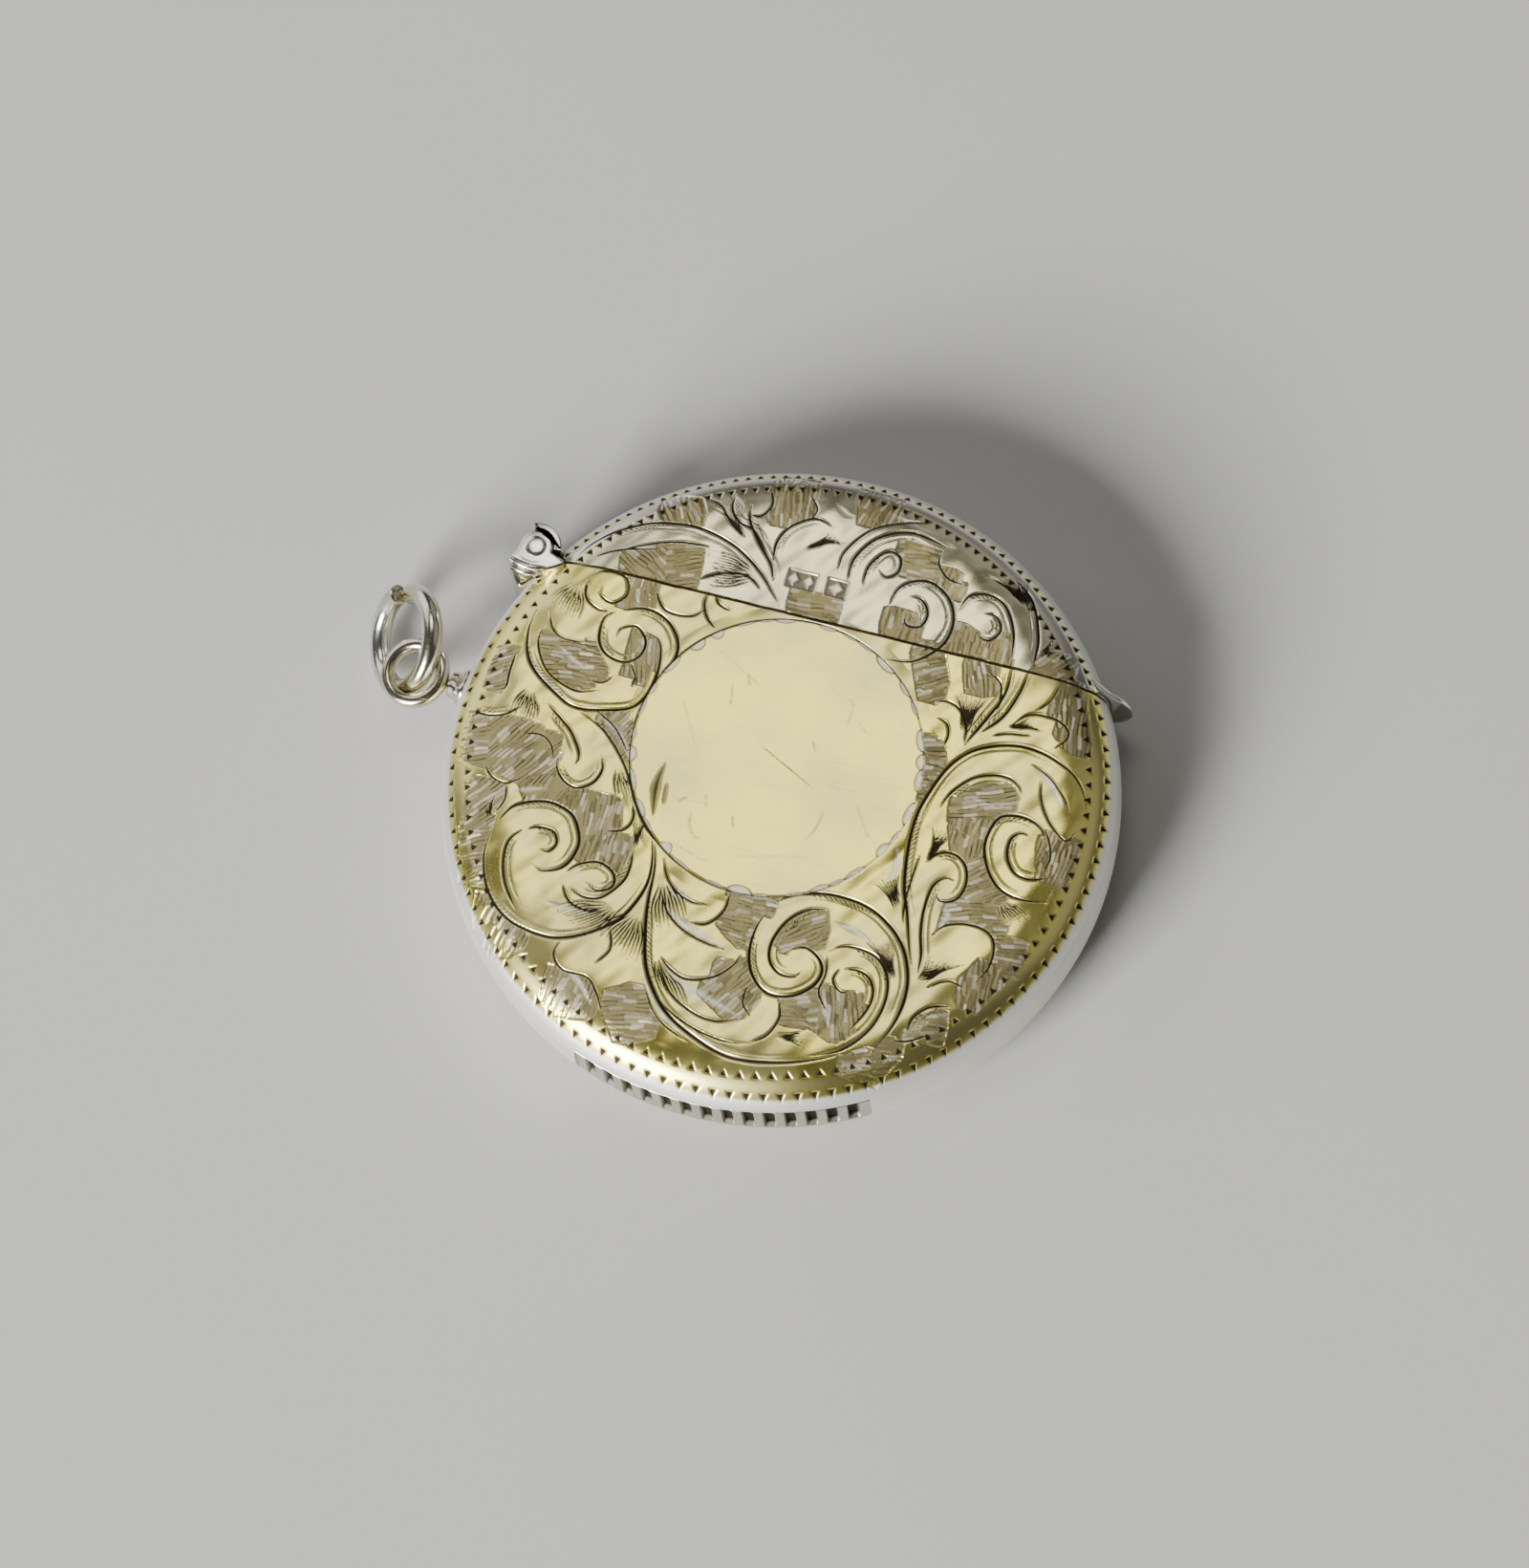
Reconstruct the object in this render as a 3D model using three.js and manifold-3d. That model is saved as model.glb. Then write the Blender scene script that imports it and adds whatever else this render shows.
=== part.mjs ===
// A round silver vesta case: a pocket box for wax matches, lying on its back.
//
// Frame: millimetres, +Z up. The origin is the centre of the round case on the plane that
// the back rests on. +X runs along the mouth, away from the hinge, and +Y runs towards the lid.
// The case is one rounded disc, parted along a straight mouth line. Its body holds the matches,
// and its lid turns about a pin beside the left end of the mouth.

import * as THREE from 'three';
import { mergeVertices } from 'three/addons/utils/BufferGeometryUtils.js';
import Module from 'manifold-3d';

const wasm = await Module();
wasm.setup();

// The round case.
const CASE_RADIUS = 21.5;
const CASE_THICKNESS = 8.0;
const EDGE_REACH = 5.0; // from the flat of a face out to the side
const EDGE_FULLNESS = 2.6; // 2 makes a quarter ellipse, and more makes a squarer edge
const WALL = 0.5;
const BAND_HALF_HEIGHT = 1.8;
const SEAM = 0.02; // soldered joint between two pressed pieces
const MOUTH_Y = 10.6;
const MOUTH_GAP = 0.14;
const CASE_SEGMENTS = 72;
const EDGE_STEPS = 8; // facets in a quarter of the rounded edge

// The liner stands in the mouth, and the lid shuts over it.
const LINER_CLEARANCE = 0.07;
const LINER_WALL = 0.34;
const LINER_FOOT = 1.8;
const LINER_RISE = 0.9;

// The hinge, beside the left end of the mouth.
const HINGE_X = -18.95;
const HINGE_Y = 11.05;
const PIN_RADIUS = 0.7;
const PIN_HALF_LENGTH = 3.74;
const PIN_FIT = 0.02;
const BARREL_FIT = 0.06;
const BARREL_RADIUS = 1.05;
const BARREL_HALF_LENGTH = 2.92;
const PLATE_INNER = 2.98; // faces of the fork plates, from the mid-plane
const PLATE_OUTER = 3.62;
const SOCKET_RADIUS = 1.15; // hollow of the bracket, round the barrel
const STRAP_INNER = 1.2;
const STRAP_OUTER = 1.62;
const STRAP_START = 4; // degrees round the pin
const STRAP_END = 112;
const NOTCH_RADIUS = 1.72; // room cut in the case round the pin
const BAND_NOTCH_RADIUS = 1.95;
const FOOT_HALF_HEIGHT = 2.2;

// The striker, let into a window of the band, on the side opposite the lid.
const STRIKER_ANGLE = -85; // degrees round the case
const STRIKER_HALF_ANGLE = 26;
const STRIKER_INNER_RADIUS = 20.5;
const STRIKER_RADIUS = 21.12;
const STRIKER_HALF_HEIGHT = 1.6;
const STRIKER_GROOVES = 14;
const GROOVE_PITCH = 3.55; // degrees
const GROOVE_WIDTH = 1.0;
const GROOVE_DEPTH = 0.22;

// The thumb piece, at the right end of the lid.
const THUMB_HALF_WIDTH = 2.6;
const THUMB_TIP_X = 19.95;

// The spring, inside the body against the hinge side.
const SPRING_RADIUS = 20.2;
const SPRING_THICKNESS = 0.3;
const SPRING_HALF_WIDTH = 1.3;
const SPRING_START = 159; // degrees round the case
const SPRING_END = 203;
const RIVET_RADIUS = 0.5;
const RIVET_ANGLE = 198;

// The bow and the jump ring, on the hinge side.
const BOW_ANGLE = 175; // degrees round the case
const BOW_CENTRE_RADIUS = 24.75;
const BOW_RADIUS = 1.85;
const BOW_WIRE = 0.42;
const BOW_AXIS = new THREE.Vector3(-0.2, -0.14, 0.97).normalize();
const COLLAR_END_RADIUS = 22.4;
const COLLAR_FOOT = 1.25;
const COLLAR_TIP = 0.8;
const JUMP_RING_CENTRE = new THREE.Vector3(-25.96, 4.27, 3.39);
const JUMP_RING_AXIS = new THREE.Vector3(-0.75, -0.317, 0.581).normalize();
const JUMP_RING_SEAM = new THREE.Vector3(-0.562, 0.748, 0.343); // from the centre to the cut
const JUMP_RING_RADIUS = 3.05;
const JUMP_RING_WIRE = 0.62;
const JUMP_RING_CUT = 3; // degrees
const JUMP_RING_SPREAD = 0.6; // how far its two ends stand past each other

const MID = CASE_THICKNESS / 2;
const FLAT_RADIUS = CASE_RADIUS - EDGE_REACH;
const REACH = 30; // larger than the case, for cutting blocks
const HINGE = new THREE.Vector2(HINGE_X, HINGE_Y);

const radians = THREE.MathUtils.degToRad;

const polar = (radius, degrees) => new THREE.Vector2(
  radius * Math.cos(radians(degrees)),
  radius * Math.sin(radians(degrees)),
);

// Solids: closed three.js geometries, joined and cut.

function toSolid(geometry) {
  const bare = geometry.clone();
  bare.deleteAttribute('normal');
  bare.deleteAttribute('uv');
  const merged = mergeVertices(bare, 1e-4);
  const corners = merged.index.array;
  const triangles = [];
  for (let i = 0; i < corners.length; i += 3) {
    const [a, b, c] = corners.slice(i, i + 3);
    if (a !== b && b !== c && c !== a) triangles.push(a, b, c);
  }
  return new wasm.Manifold(new wasm.Mesh({
    numProp: 3,
    vertProperties: merged.attributes.position.array,
    triVerts: Uint32Array.from(triangles),
  }));
}

function toGeometry(solid) {
  const mesh = solid.getMesh();
  const geometry = new THREE.BufferGeometry();
  geometry.setAttribute('position', new THREE.BufferAttribute(mesh.vertProperties, 3));
  geometry.setIndex(new THREE.BufferAttribute(mesh.triVerts, 1));
  geometry.computeVertexNormals();
  return geometry;
}

// A block between two corners.
function block(low, high) {
  const size = high.map((value, axis) => value - low[axis]);
  const geometry = new THREE.BoxGeometry(...size);
  geometry.translate(...low.map((value, axis) => value + size[axis] / 2));
  return toSolid(geometry);
}

// A plate of an XY outline, between two heights above the mid-plane.
function plate(shape, bottom, top, curveSegments = 12) {
  const geometry = new THREE.ExtrudeGeometry(shape, {
    depth: top - bottom, bevelEnabled: false, curveSegments,
  });
  geometry.translate(0, 0, MID + bottom);
  return toSolid(geometry);
}

function upright(centre, radius, halfHeight, segments = 32) {
  const geometry = new THREE.CylinderGeometry(radius, radius, 2 * halfHeight, segments);
  geometry.rotateX(Math.PI / 2);
  geometry.translate(centre.x, centre.y, MID);
  return toSolid(geometry);
}

// A sector of a ring, as an XY outline.
function sector(centre, inner, outer, start, end) {
  const shape = new THREE.Shape();
  shape.absarc(centre.x, centre.y, outer, radians(start), radians(end), false);
  shape.absarc(centre.x, centre.y, inner, radians(end), radians(start), true);
  shape.closePath();
  return shape;
}

// The whole case as one solid disc with a rounded edge, its surface moved in by inset.
// Each quarter of its edge is a superellipse from the side up to the flat of the face.
function caseDisc(inset) {
  const profile = [new THREE.Vector2(0, inset - MID)];
  for (let step = -EDGE_STEPS; step <= EDGE_STEPS; step += 1) {
    const turn = (step / EDGE_STEPS) * (Math.PI / 2);
    const out = Math.abs(Math.cos(turn)) ** (2 / EDGE_FULLNESS);
    const up = Math.sign(step) * Math.abs(Math.sin(turn)) ** (2 / EDGE_FULLNESS);
    profile.push(new THREE.Vector2(
      FLAT_RADIUS + (EDGE_REACH - inset) * out,
      (MID - inset) * up,
    ));
  }
  profile.push(new THREE.Vector2(0, MID - inset));
  const geometry = new THREE.LatheGeometry(profile, CASE_SEGMENTS);
  geometry.rotateX(Math.PI / 2);
  geometry.translate(0, 0, MID);
  return toSolid(geometry);
}

const below = (y) => block([-REACH, -REACH, -REACH], [REACH, y, REACH]);
const above = (y) => block([-REACH, y, -REACH], [REACH, REACH, REACH]);
const layer = (bottom, top) => block([-REACH, -REACH, MID + bottom], [REACH, REACH, MID + top]);

const outside = caseDisc(0);
const wall = outside.subtract(caseDisc(WALL));
const hingeNotch = upright(HINGE, NOTCH_RADIUS, REACH, 40);
const bodyWall = wall.intersect(below(MOUTH_Y - MOUTH_GAP / 2)).subtract(hingeNotch);
const lidWall = wall.intersect(above(MOUTH_Y + MOUTH_GAP / 2)).subtract(hingeNotch);
const frontLayer = layer(BAND_HALF_HEIGHT + SEAM, REACH);
const backLayer = layer(-REACH, -BAND_HALF_HEIGHT - SEAM);
const bandLayer = layer(-BAND_HALF_HEIGHT, BAND_HALF_HEIGHT)
  .subtract(upright(HINGE, BAND_NOTCH_RADIUS, REACH, 40))
  .subtract(strikerSector(FLAT_RADIUS, REACH, SEAM));
const clearOfCase = (solid) => solid.subtract(caseDisc(-SEAM));

function mouthLiner() {
  const outerInset = WALL + LINER_CLEARANCE;
  return caseDisc(outerInset)
    .subtract(caseDisc(outerInset + LINER_WALL))
    .intersect(above(MOUTH_Y - LINER_FOOT))
    .intersect(below(MOUTH_Y + LINER_RISE))
    .subtract(hingeNotch);
}

// A block over the striker's part of the side, between two radii and wider by a margin.
function strikerSector(inner, outer, margin) {
  const halfAngle = STRIKER_HALF_ANGLE + THREE.MathUtils.radToDeg(margin / CASE_RADIUS);
  const halfHeight = STRIKER_HALF_HEIGHT + margin;
  const outline = sector(
    new THREE.Vector2(), inner, outer, STRIKER_ANGLE - halfAngle, STRIKER_ANGLE + halfAngle,
  );
  return plate(outline, -halfHeight, halfHeight, 32);
}

// The ribbed strip that a match is struck on: a band segment with grooves across it.
function strikerPlate() {
  let strip = strikerSector(STRIKER_INNER_RADIUS, STRIKER_RADIUS, 0);
  for (let groove = 0; groove < STRIKER_GROOVES; groove += 1) {
    const cutter = new THREE.BoxGeometry(2 * GROOVE_DEPTH, GROOVE_WIDTH, CASE_THICKNESS);
    cutter.translate(STRIKER_RADIUS, 0, MID);
    cutter.rotateZ(radians(STRIKER_ANGLE + (groove - (STRIKER_GROOVES - 1) / 2) * GROOVE_PITCH));
    strip = strip.subtract(toSolid(cutter));
  }
  return strip;
}

// One face of the bracket, seen from the front: a round head on two flared wings.
function bracketOutline() {
  const head = BARREL_RADIUS;
  const at = (x, y) => [HINGE_X + x, HINGE_Y + y];
  const shape = new THREE.Shape();
  shape.moveTo(...at(-1.6, -1.2));
  shape.quadraticCurveTo(...at(-0.4, -1.9), ...at(0.9, -1.42));
  shape.lineTo(...at(1.5, -1.05));
  shape.lineTo(...at(2.0, -0.75));
  shape.lineTo(...at(2.0, -0.5));
  shape.lineTo(...at(head * Math.cos(radians(-8)), head * Math.sin(radians(-8))));
  shape.absarc(HINGE_X, HINGE_Y, head, radians(-8), radians(176), false);
  shape.quadraticCurveTo(...at(-1.1, -0.75), ...at(-1.6, -1.2));
  return shape;
}

// The bracket's foot: it runs from the plates down the side of the case.
function footOutline() {
  const shape = new THREE.Shape();
  const rim = polar(CASE_RADIUS - 0.5, 155.5);
  shape.moveTo(HINGE_X - 1.5, HINGE_Y - 1.15);
  shape.quadraticCurveTo(HINGE_X - 1.15, HINGE_Y - 1.95, HINGE_X - 0.75, HINGE_Y - 2.3);
  shape.lineTo(rim.x, rim.y);
  shape.lineTo(HINGE_X + 0.6, HINGE_Y - 1.5);
  shape.closePath();
  return shape;
}

function hingeBracket() {
  const head = plate(bracketOutline(), -PLATE_OUTER, PLATE_OUTER);
  const foot = clearOfCase(plate(footOutline(), -FOOT_HALF_HEIGHT, FOOT_HALF_HEIGHT));
  const inCase = outside.intersect(layer(-PLATE_INNER, PLATE_INNER));
  const web = head.subtract(inCase.subtract(upright(HINGE, NOTCH_RADIUS - 0.06, REACH, 40)));
  return web.add(foot)
    .subtract(upright(HINGE, SOCKET_RADIUS, PLATE_INNER))
    .subtract(upright(HINGE, PIN_RADIUS + PIN_FIT, REACH))
    .subtract(caseDisc(-SEAM).subtract(upright(HINGE, NOTCH_RADIUS - 0.06, REACH, 40)));
}

function hingePin() {
  return upright(HINGE, PIN_RADIUS, PIN_HALF_LENGTH);
}

// The lid's knuckle: a barrel on the pin, and a strap round the head of the bracket.
function lidKnuckle() {
  const strap = sector(HINGE, STRAP_INNER, STRAP_OUTER, STRAP_START, STRAP_END);
  const web = sector(HINGE, PIN_RADIUS + BARREL_FIT + 0.1, STRAP_INNER + 0.1, 25, 95);
  return upright(HINGE, BARREL_RADIUS, BARREL_HALF_LENGTH)
    .add(plate(web, -BARREL_HALF_LENGTH, BARREL_HALF_LENGTH))
    .add(plate(strap, -PLATE_OUTER, PLATE_OUTER, 14))
    .subtract(upright(HINGE, PIN_RADIUS + BARREL_FIT, REACH));
}

// A curved lip for the thumb nail, standing out past the mouth line.
function thumbPiece() {
  const under = MOUTH_Y + MOUTH_GAP / 2 + 0.06;
  const shape = new THREE.Shape();
  shape.moveTo(17.6, under);
  shape.lineTo(THUMB_TIP_X - 0.15, under);
  shape.quadraticCurveTo(THUMB_TIP_X + 0.1, under + 0.12, THUMB_TIP_X - 0.1, under + 0.35);
  shape.quadraticCurveTo(19.0, under + 0.62, 17.75, under + 1.15);
  shape.closePath();
  const rounding = new THREE.CylinderGeometry(THUMB_HALF_WIDTH, THUMB_HALF_WIDTH, 4, 40);
  rounding.translate(THUMB_TIP_X - THUMB_HALF_WIDTH + 0.05, under + 1, MID);
  const lip = plate(shape, -THUMB_HALF_WIDTH, THUMB_HALF_WIDTH);
  return clearOfCase(lip.intersect(toSolid(rounding)));
}

function lidSpring() {
  const strip = sector(
    new THREE.Vector2(), SPRING_RADIUS - SPRING_THICKNESS, SPRING_RADIUS, SPRING_START, SPRING_END,
  );
  return plate(strip, -SPRING_HALF_WIDTH, SPRING_HALF_WIDTH, 16)
    .subtract(radialPeg(RIVET_ANGLE, 0, REACH, RIVET_RADIUS + SEAM, RIVET_RADIUS + SEAM));
}

// A round peg pointing away from the axis of the case, in its mid-plane.
function radialPeg(angle, from, to, fromRadius, toRadius, segments = 24) {
  const geometry = new THREE.CylinderGeometry(toRadius, fromRadius, to - from, segments);
  geometry.rotateZ(-Math.PI / 2);
  geometry.translate((from + to) / 2, 0, 0);
  geometry.rotateZ(radians(angle));
  geometry.translate(0, 0, MID);
  return toSolid(geometry);
}

function springRivet() {
  const head = radialPeg(RIVET_ANGLE, SPRING_RADIUS - 0.6, SPRING_RADIUS - 0.32, 0.6, 0.8);
  const shank = radialPeg(RIVET_ANGLE, SPRING_RADIUS - 0.4, CASE_RADIUS - 0.3, RIVET_RADIUS, RIVET_RADIUS);
  return head.add(shank).intersect(caseDisc(WALL + SEAM));
}

function bowCollar() {
  return clearOfCase(radialPeg(BOW_ANGLE, CASE_RADIUS - 1, COLLAR_END_RADIUS, COLLAR_FOOT, COLLAR_TIP));
}

function bowRing() {
  const geometry = new THREE.TorusGeometry(BOW_RADIUS, BOW_WIRE, 10, 32);
  const turn = new THREE.Quaternion().setFromUnitVectors(new THREE.Vector3(0, 0, 1), BOW_AXIS);
  const centre = polar(BOW_CENTRE_RADIUS, BOW_ANGLE);
  geometry.applyQuaternion(turn);
  geometry.translate(centre.x, centre.y, MID);
  return toSolid(geometry);
}

// A split ring: one turn of wire whose two ends stand side by side at the cut.
class SplitRing extends THREE.Curve {
  constructor() {
    super();
    const along = JUMP_RING_SEAM.clone().projectOnPlane(JUMP_RING_AXIS).normalize();
    this.along = along;
    this.across = new THREE.Vector3().crossVectors(JUMP_RING_AXIS, along);
  }

  getPoint(t, target = new THREE.Vector3()) {
    const turn = radians(JUMP_RING_CUT / 2 + t * (360 - JUMP_RING_CUT));
    return target.copy(JUMP_RING_CENTRE)
      .addScaledVector(this.along, JUMP_RING_RADIUS * Math.cos(turn))
      .addScaledVector(this.across, JUMP_RING_RADIUS * Math.sin(turn))
      .addScaledVector(JUMP_RING_AXIS, JUMP_RING_SPREAD * (0.5 - t));
  }
}

function jumpRing() {
  const section = new THREE.Shape();
  section.absarc(0, 0, JUMP_RING_WIRE, 0, 2 * Math.PI, false);
  return toSolid(new THREE.ExtrudeGeometry(section, {
    steps: 40, extrudePath: new SplitRing(), curveSegments: 5,
  }));
}

// Finishes.

const metal = (name, color, roughness) => new THREE.MeshStandardMaterial({
  name, color, roughness, metalness: 1,
});
const gilt = metal('silver gilt', 0xd8cc96, 0.3);
const silver = metal('sterling silver', 0xd2d0c6, 0.25);
const darkSilver = metal('striker silver', 0xa5a396, 0.45);
const steel = metal('spring steel', 0x8d8f92, 0.4);

const pieces = {
  body_front_shell: [bodyWall.intersect(frontLayer), gilt],
  body_back_shell: [bodyWall.intersect(backLayer), gilt],
  body_rim_band: [bodyWall.intersect(bandLayer), silver],
  mouth_liner: [mouthLiner(), gilt],
  striker_plate: [strikerPlate(), darkSilver],
  hinge_bracket: [hingeBracket(), silver],
  hinge_pin: [hingePin(), silver],
  lid_spring: [lidSpring(), steel],
  spring_rivet: [springRivet(), silver],
  bow_collar: [bowCollar(), silver],
  bow_ring: [bowRing(), silver],
  jump_ring: [jumpRing(), silver],
  lid_front_shell: [lidWall.intersect(frontLayer), gilt],
  lid_back_shell: [lidWall.intersect(backLayer), gilt],
  lid_rim_band: [lidWall.intersect(bandLayer), silver],
  lid_knuckle: [lidKnuckle(), silver],
  thumb_piece: [thumbPiece(), silver],
};

const vestaCase = new THREE.Group();
vestaCase.name = 'vesta_case';
for (const [name, [solid, material]] of Object.entries(pieces)) {
  const mesh = new THREE.Mesh(toGeometry(solid), material);
  mesh.name = name;
  vestaCase.add(mesh);
}

export default vestaCase;
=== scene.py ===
"""A round silver-gilt vesta case with engraved scrolls, built round its CAD frame."""

import math

import bpy
import numpy as np
from bpy.props import FloatProperty, FloatVectorProperty, IntProperty, PointerProperty
from mathutils import Matrix, Vector


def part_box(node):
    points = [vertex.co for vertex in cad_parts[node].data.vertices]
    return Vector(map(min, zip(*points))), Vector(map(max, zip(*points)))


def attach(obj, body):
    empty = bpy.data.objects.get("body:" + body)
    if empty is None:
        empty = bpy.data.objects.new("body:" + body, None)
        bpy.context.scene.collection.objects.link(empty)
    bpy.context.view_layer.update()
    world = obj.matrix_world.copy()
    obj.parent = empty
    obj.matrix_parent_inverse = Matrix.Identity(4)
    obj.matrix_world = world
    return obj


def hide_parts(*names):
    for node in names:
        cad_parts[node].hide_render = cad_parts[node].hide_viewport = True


bl_info = {
    "name": "Engraved Vesta Case",
    "version": (1, 0, 0),
    "blender": (4, 5, 0),
    "location": "3D View > Sidebar > Vesta Case",
    "description": "Builds a round engraved vesta case, its hinge, bow and jump ring",
    "category": "Add Mesh",
}

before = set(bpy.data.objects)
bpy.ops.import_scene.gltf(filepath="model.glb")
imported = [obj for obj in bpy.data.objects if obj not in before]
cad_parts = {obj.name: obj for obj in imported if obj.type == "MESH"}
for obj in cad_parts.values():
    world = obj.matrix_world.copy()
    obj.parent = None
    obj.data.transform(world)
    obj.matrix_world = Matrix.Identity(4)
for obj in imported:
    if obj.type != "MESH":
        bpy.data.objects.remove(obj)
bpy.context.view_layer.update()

MM = 0.001
PARTED = 0.07  # half the gap at the mouth, in mm
SEAM = 0.02  # a soldered seam, in mm
BAND_EDGE = 1.8  # half height of the rim band, in mm


def span_mm(node):
    """Lowest and highest corner of a CAD node, in millimetres."""
    low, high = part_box(node)
    return np.array(low) / MM, np.array(high) / MM


BAND_LOW, BAND_HIGH = span_mm("body_rim_band")
FRONT_HIGH = span_mm("body_front_shell")[1]
PIN_LOW, PIN_HIGH = span_mm("hinge_pin")
MIDDLE = float(BAND_LOW[2] + BAND_HIGH[2]) / 2
HINGE = (PIN_LOW[:2] + PIN_HIGH[:2]) / 2
PIN_HALF = float(PIN_HIGH[2] - PIN_LOW[2]) / 2
PIN_RADIUS = float(PIN_HIGH[0] - PIN_LOW[0]) / 2
HALF_THICKNESS = float(FRONT_HIGH[2]) - MIDDLE
RADIUS = float(-BAND_LOW[1])
MOUTH = float(FRONT_HIGH[1]) + PARTED
EDGE_REACH = 5.0
EDGE_FULLNESS = 2.6  # power of the superellipse round the edge
FLAT_RADIUS = RADIUS - EDGE_REACH
WALL = 0.5
NOTCH = 1.72  # radius of the room cut in the shells round the pin
BAND_NOTCH = 1.95  # and in the side band
LINER_INSET, LINER_WALL = 0.57, 0.34

HINGE_TURN = math.atan2(HINGE[1], HINGE[0])
HINGE_DISTANCE = float(np.hypot(*HINGE))
BARREL_RADIUS = PIN_RADIUS + 0.35
BARREL_HALF = 2.92
BRACKET_INNER, BRACKET_OUTER = 2.98, 3.62
SOCKET_RADIUS = 1.17
FOOT_HALF = 2.2
STRAP_INNER, STRAP_OUTER = 1.14, 1.62
STRAP_TURNS = (4, 112)  # degrees round the pin
THUMB_HALF = 2.6

STRIKER_TURN, STRIKER_HALF_TURN = math.radians(-85), math.radians(26)
STRIKER_PITCH = math.radians(3.55)
STRIKER_HALF_HEIGHT = 1.6
STRIKER_OUTER, STRIKER_INNER = 21.12, 20.5
STRIKER_GROOVE = 0.42
WINDOW_HALF_HEIGHT = 1.625
WINDOW_OUTER, WINDOW_INNER = 20.6, 20.3  # the band stepped in behind the striker

SPRING_OUTER, SPRING_INNER = 20.2, 19.9
SPRING_TURNS = (159.2, 203)
RIVET_TURN = math.radians(198)
BOW_TURN = math.radians(175)
BOW_DISTANCE, BOW_RADIUS = 24.75, 1.85
BOW_AXIS = np.array([-0.2, -0.14, 0.97])
JUMP_RING_CENTRE = np.array([-25.96, 4.27, 3.39])
JUMP_RING_AXIS = np.array([-0.75, -0.317, 0.581])
JUMP_RING_SEAM = np.array([-0.562, 0.748, 0.343])  # from the centre to the cut
JUMP_RING_RADIUS, JUMP_RING_SPREAD = 3.05, 0.6
AXLE = 0.012  # radius left at the ends of a turned form, so that they close as faces

CHART_STEP = 0.04
CHART_REACH = 21.8
DOT_ROWS = (20.45, 19.38)
DOTS, LID_DOTS = 122, 162  # marks in a full turn, at the pitch of body and lid
# the third mask places painted highlights; cut places the tarnish
MASKS = ("cut", "ground", "bright", "band", "rim")
ORNAMENT_SHIFT = np.array([-0.02, -0.08])
CARTOUCHE = np.array([-0.36, 1.18])
CARTOUCHE_RADIUS = 9.15
CARTOUCHE_CORE = 8.2
GROUND_REACH = 0.56  # how far a patch of ground may grow towards the lines, in mm
STROKE_LENGTH = 0.85
FACET_FALL = 0.16  # steepest fall across one stroke, in mm
ECHO_GAP = 0.42  # from a wide line to the thin one that follows it
UNEVENNESS = 0.022
WAVE_PEAK = 2.6  # highest sum that the three waves of the surface can reach
CARTOUCHE_BITES = 34
UNDER_ROWS = 22  # rows of points over the inside of a body face
FRONT_CORE = (680, 120)  # points round and across the plain core of the front
BACK_CORE = (420, 64)

FLOOR_REACH = 1.5  # metres from here on
WORLD_STRENGTH = 0.05
LIGHTS = (
    # name, azimuth, elevation, distance, size, watts, tint
    ("key_window", 243, 25, 1.5, 0.6, 64.0, (1, 1, 1)),
    ("left_panel", 150, 24, 1.0, 0.85, 3.0, (1, 1, 1)),
    ("back_panel", 78, 30, 1.0, 0.6, 0.35, (1, 1, 1)),
    ("right_panel", 18, 42, 1.0, 0.8, 0.55, (1, 1, 1)),
    ("overhead_panel", 116, 70, 0.8, 0.30, 0.86, (1.0, 0.97, 0.84)),
)
CAMERA_TARGET = Vector((-1.231, 0.562, MIDDLE)) * MM
CAMERA_AZIMUTH, CAMERA_ELEVATION, CAMERA_ROLL = -64.04, 70.389, -10.732
CAMERA_DISTANCE, CAMERA_LENS = 0.45324, 170.44


# Settings


def length(name, description, millimetres):
    return FloatProperty(
        name=name, description=description, default=millimetres * MM,
        min=0, unit="LENGTH", subtype="DISTANCE", precision=5,
    )


def colour(name, description, value):
    return FloatVectorProperty(
        name=name, description=description, default=value,
        size=3, min=0, max=1, subtype="COLOR",
    )


class VestaSizes(bpy.types.PropertyGroup):
    """Sizes of the engraving and of the round-wire parts."""

    cut_depth: length("Cut Depth", "Depth of the widest engraved line", 0.13)
    ground_depth: length("Ground Depth", "How far the hatched ground is sunk", 0.03)
    hatch_pitch: length("Hatch Pitch", "Distance between hatching lines", 0.27)
    dot_size: length("Dot Size", "Reach of one border punch mark", 0.2)
    grid_pitch: length("Grid Pitch", "Mesh spacing on the engraved faces", 0.072)
    bow_wire: length("Bow Wire", "Radius of the wire of the bow", 0.46)
    jump_ring_wire: length("Jump Ring Wire", "Radius of the wire of the jump ring", 0.66)
    striker_ribs: IntProperty(
        name="Striker Ribs", description="Grooves across the striker", default=14, min=1,
    )


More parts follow.
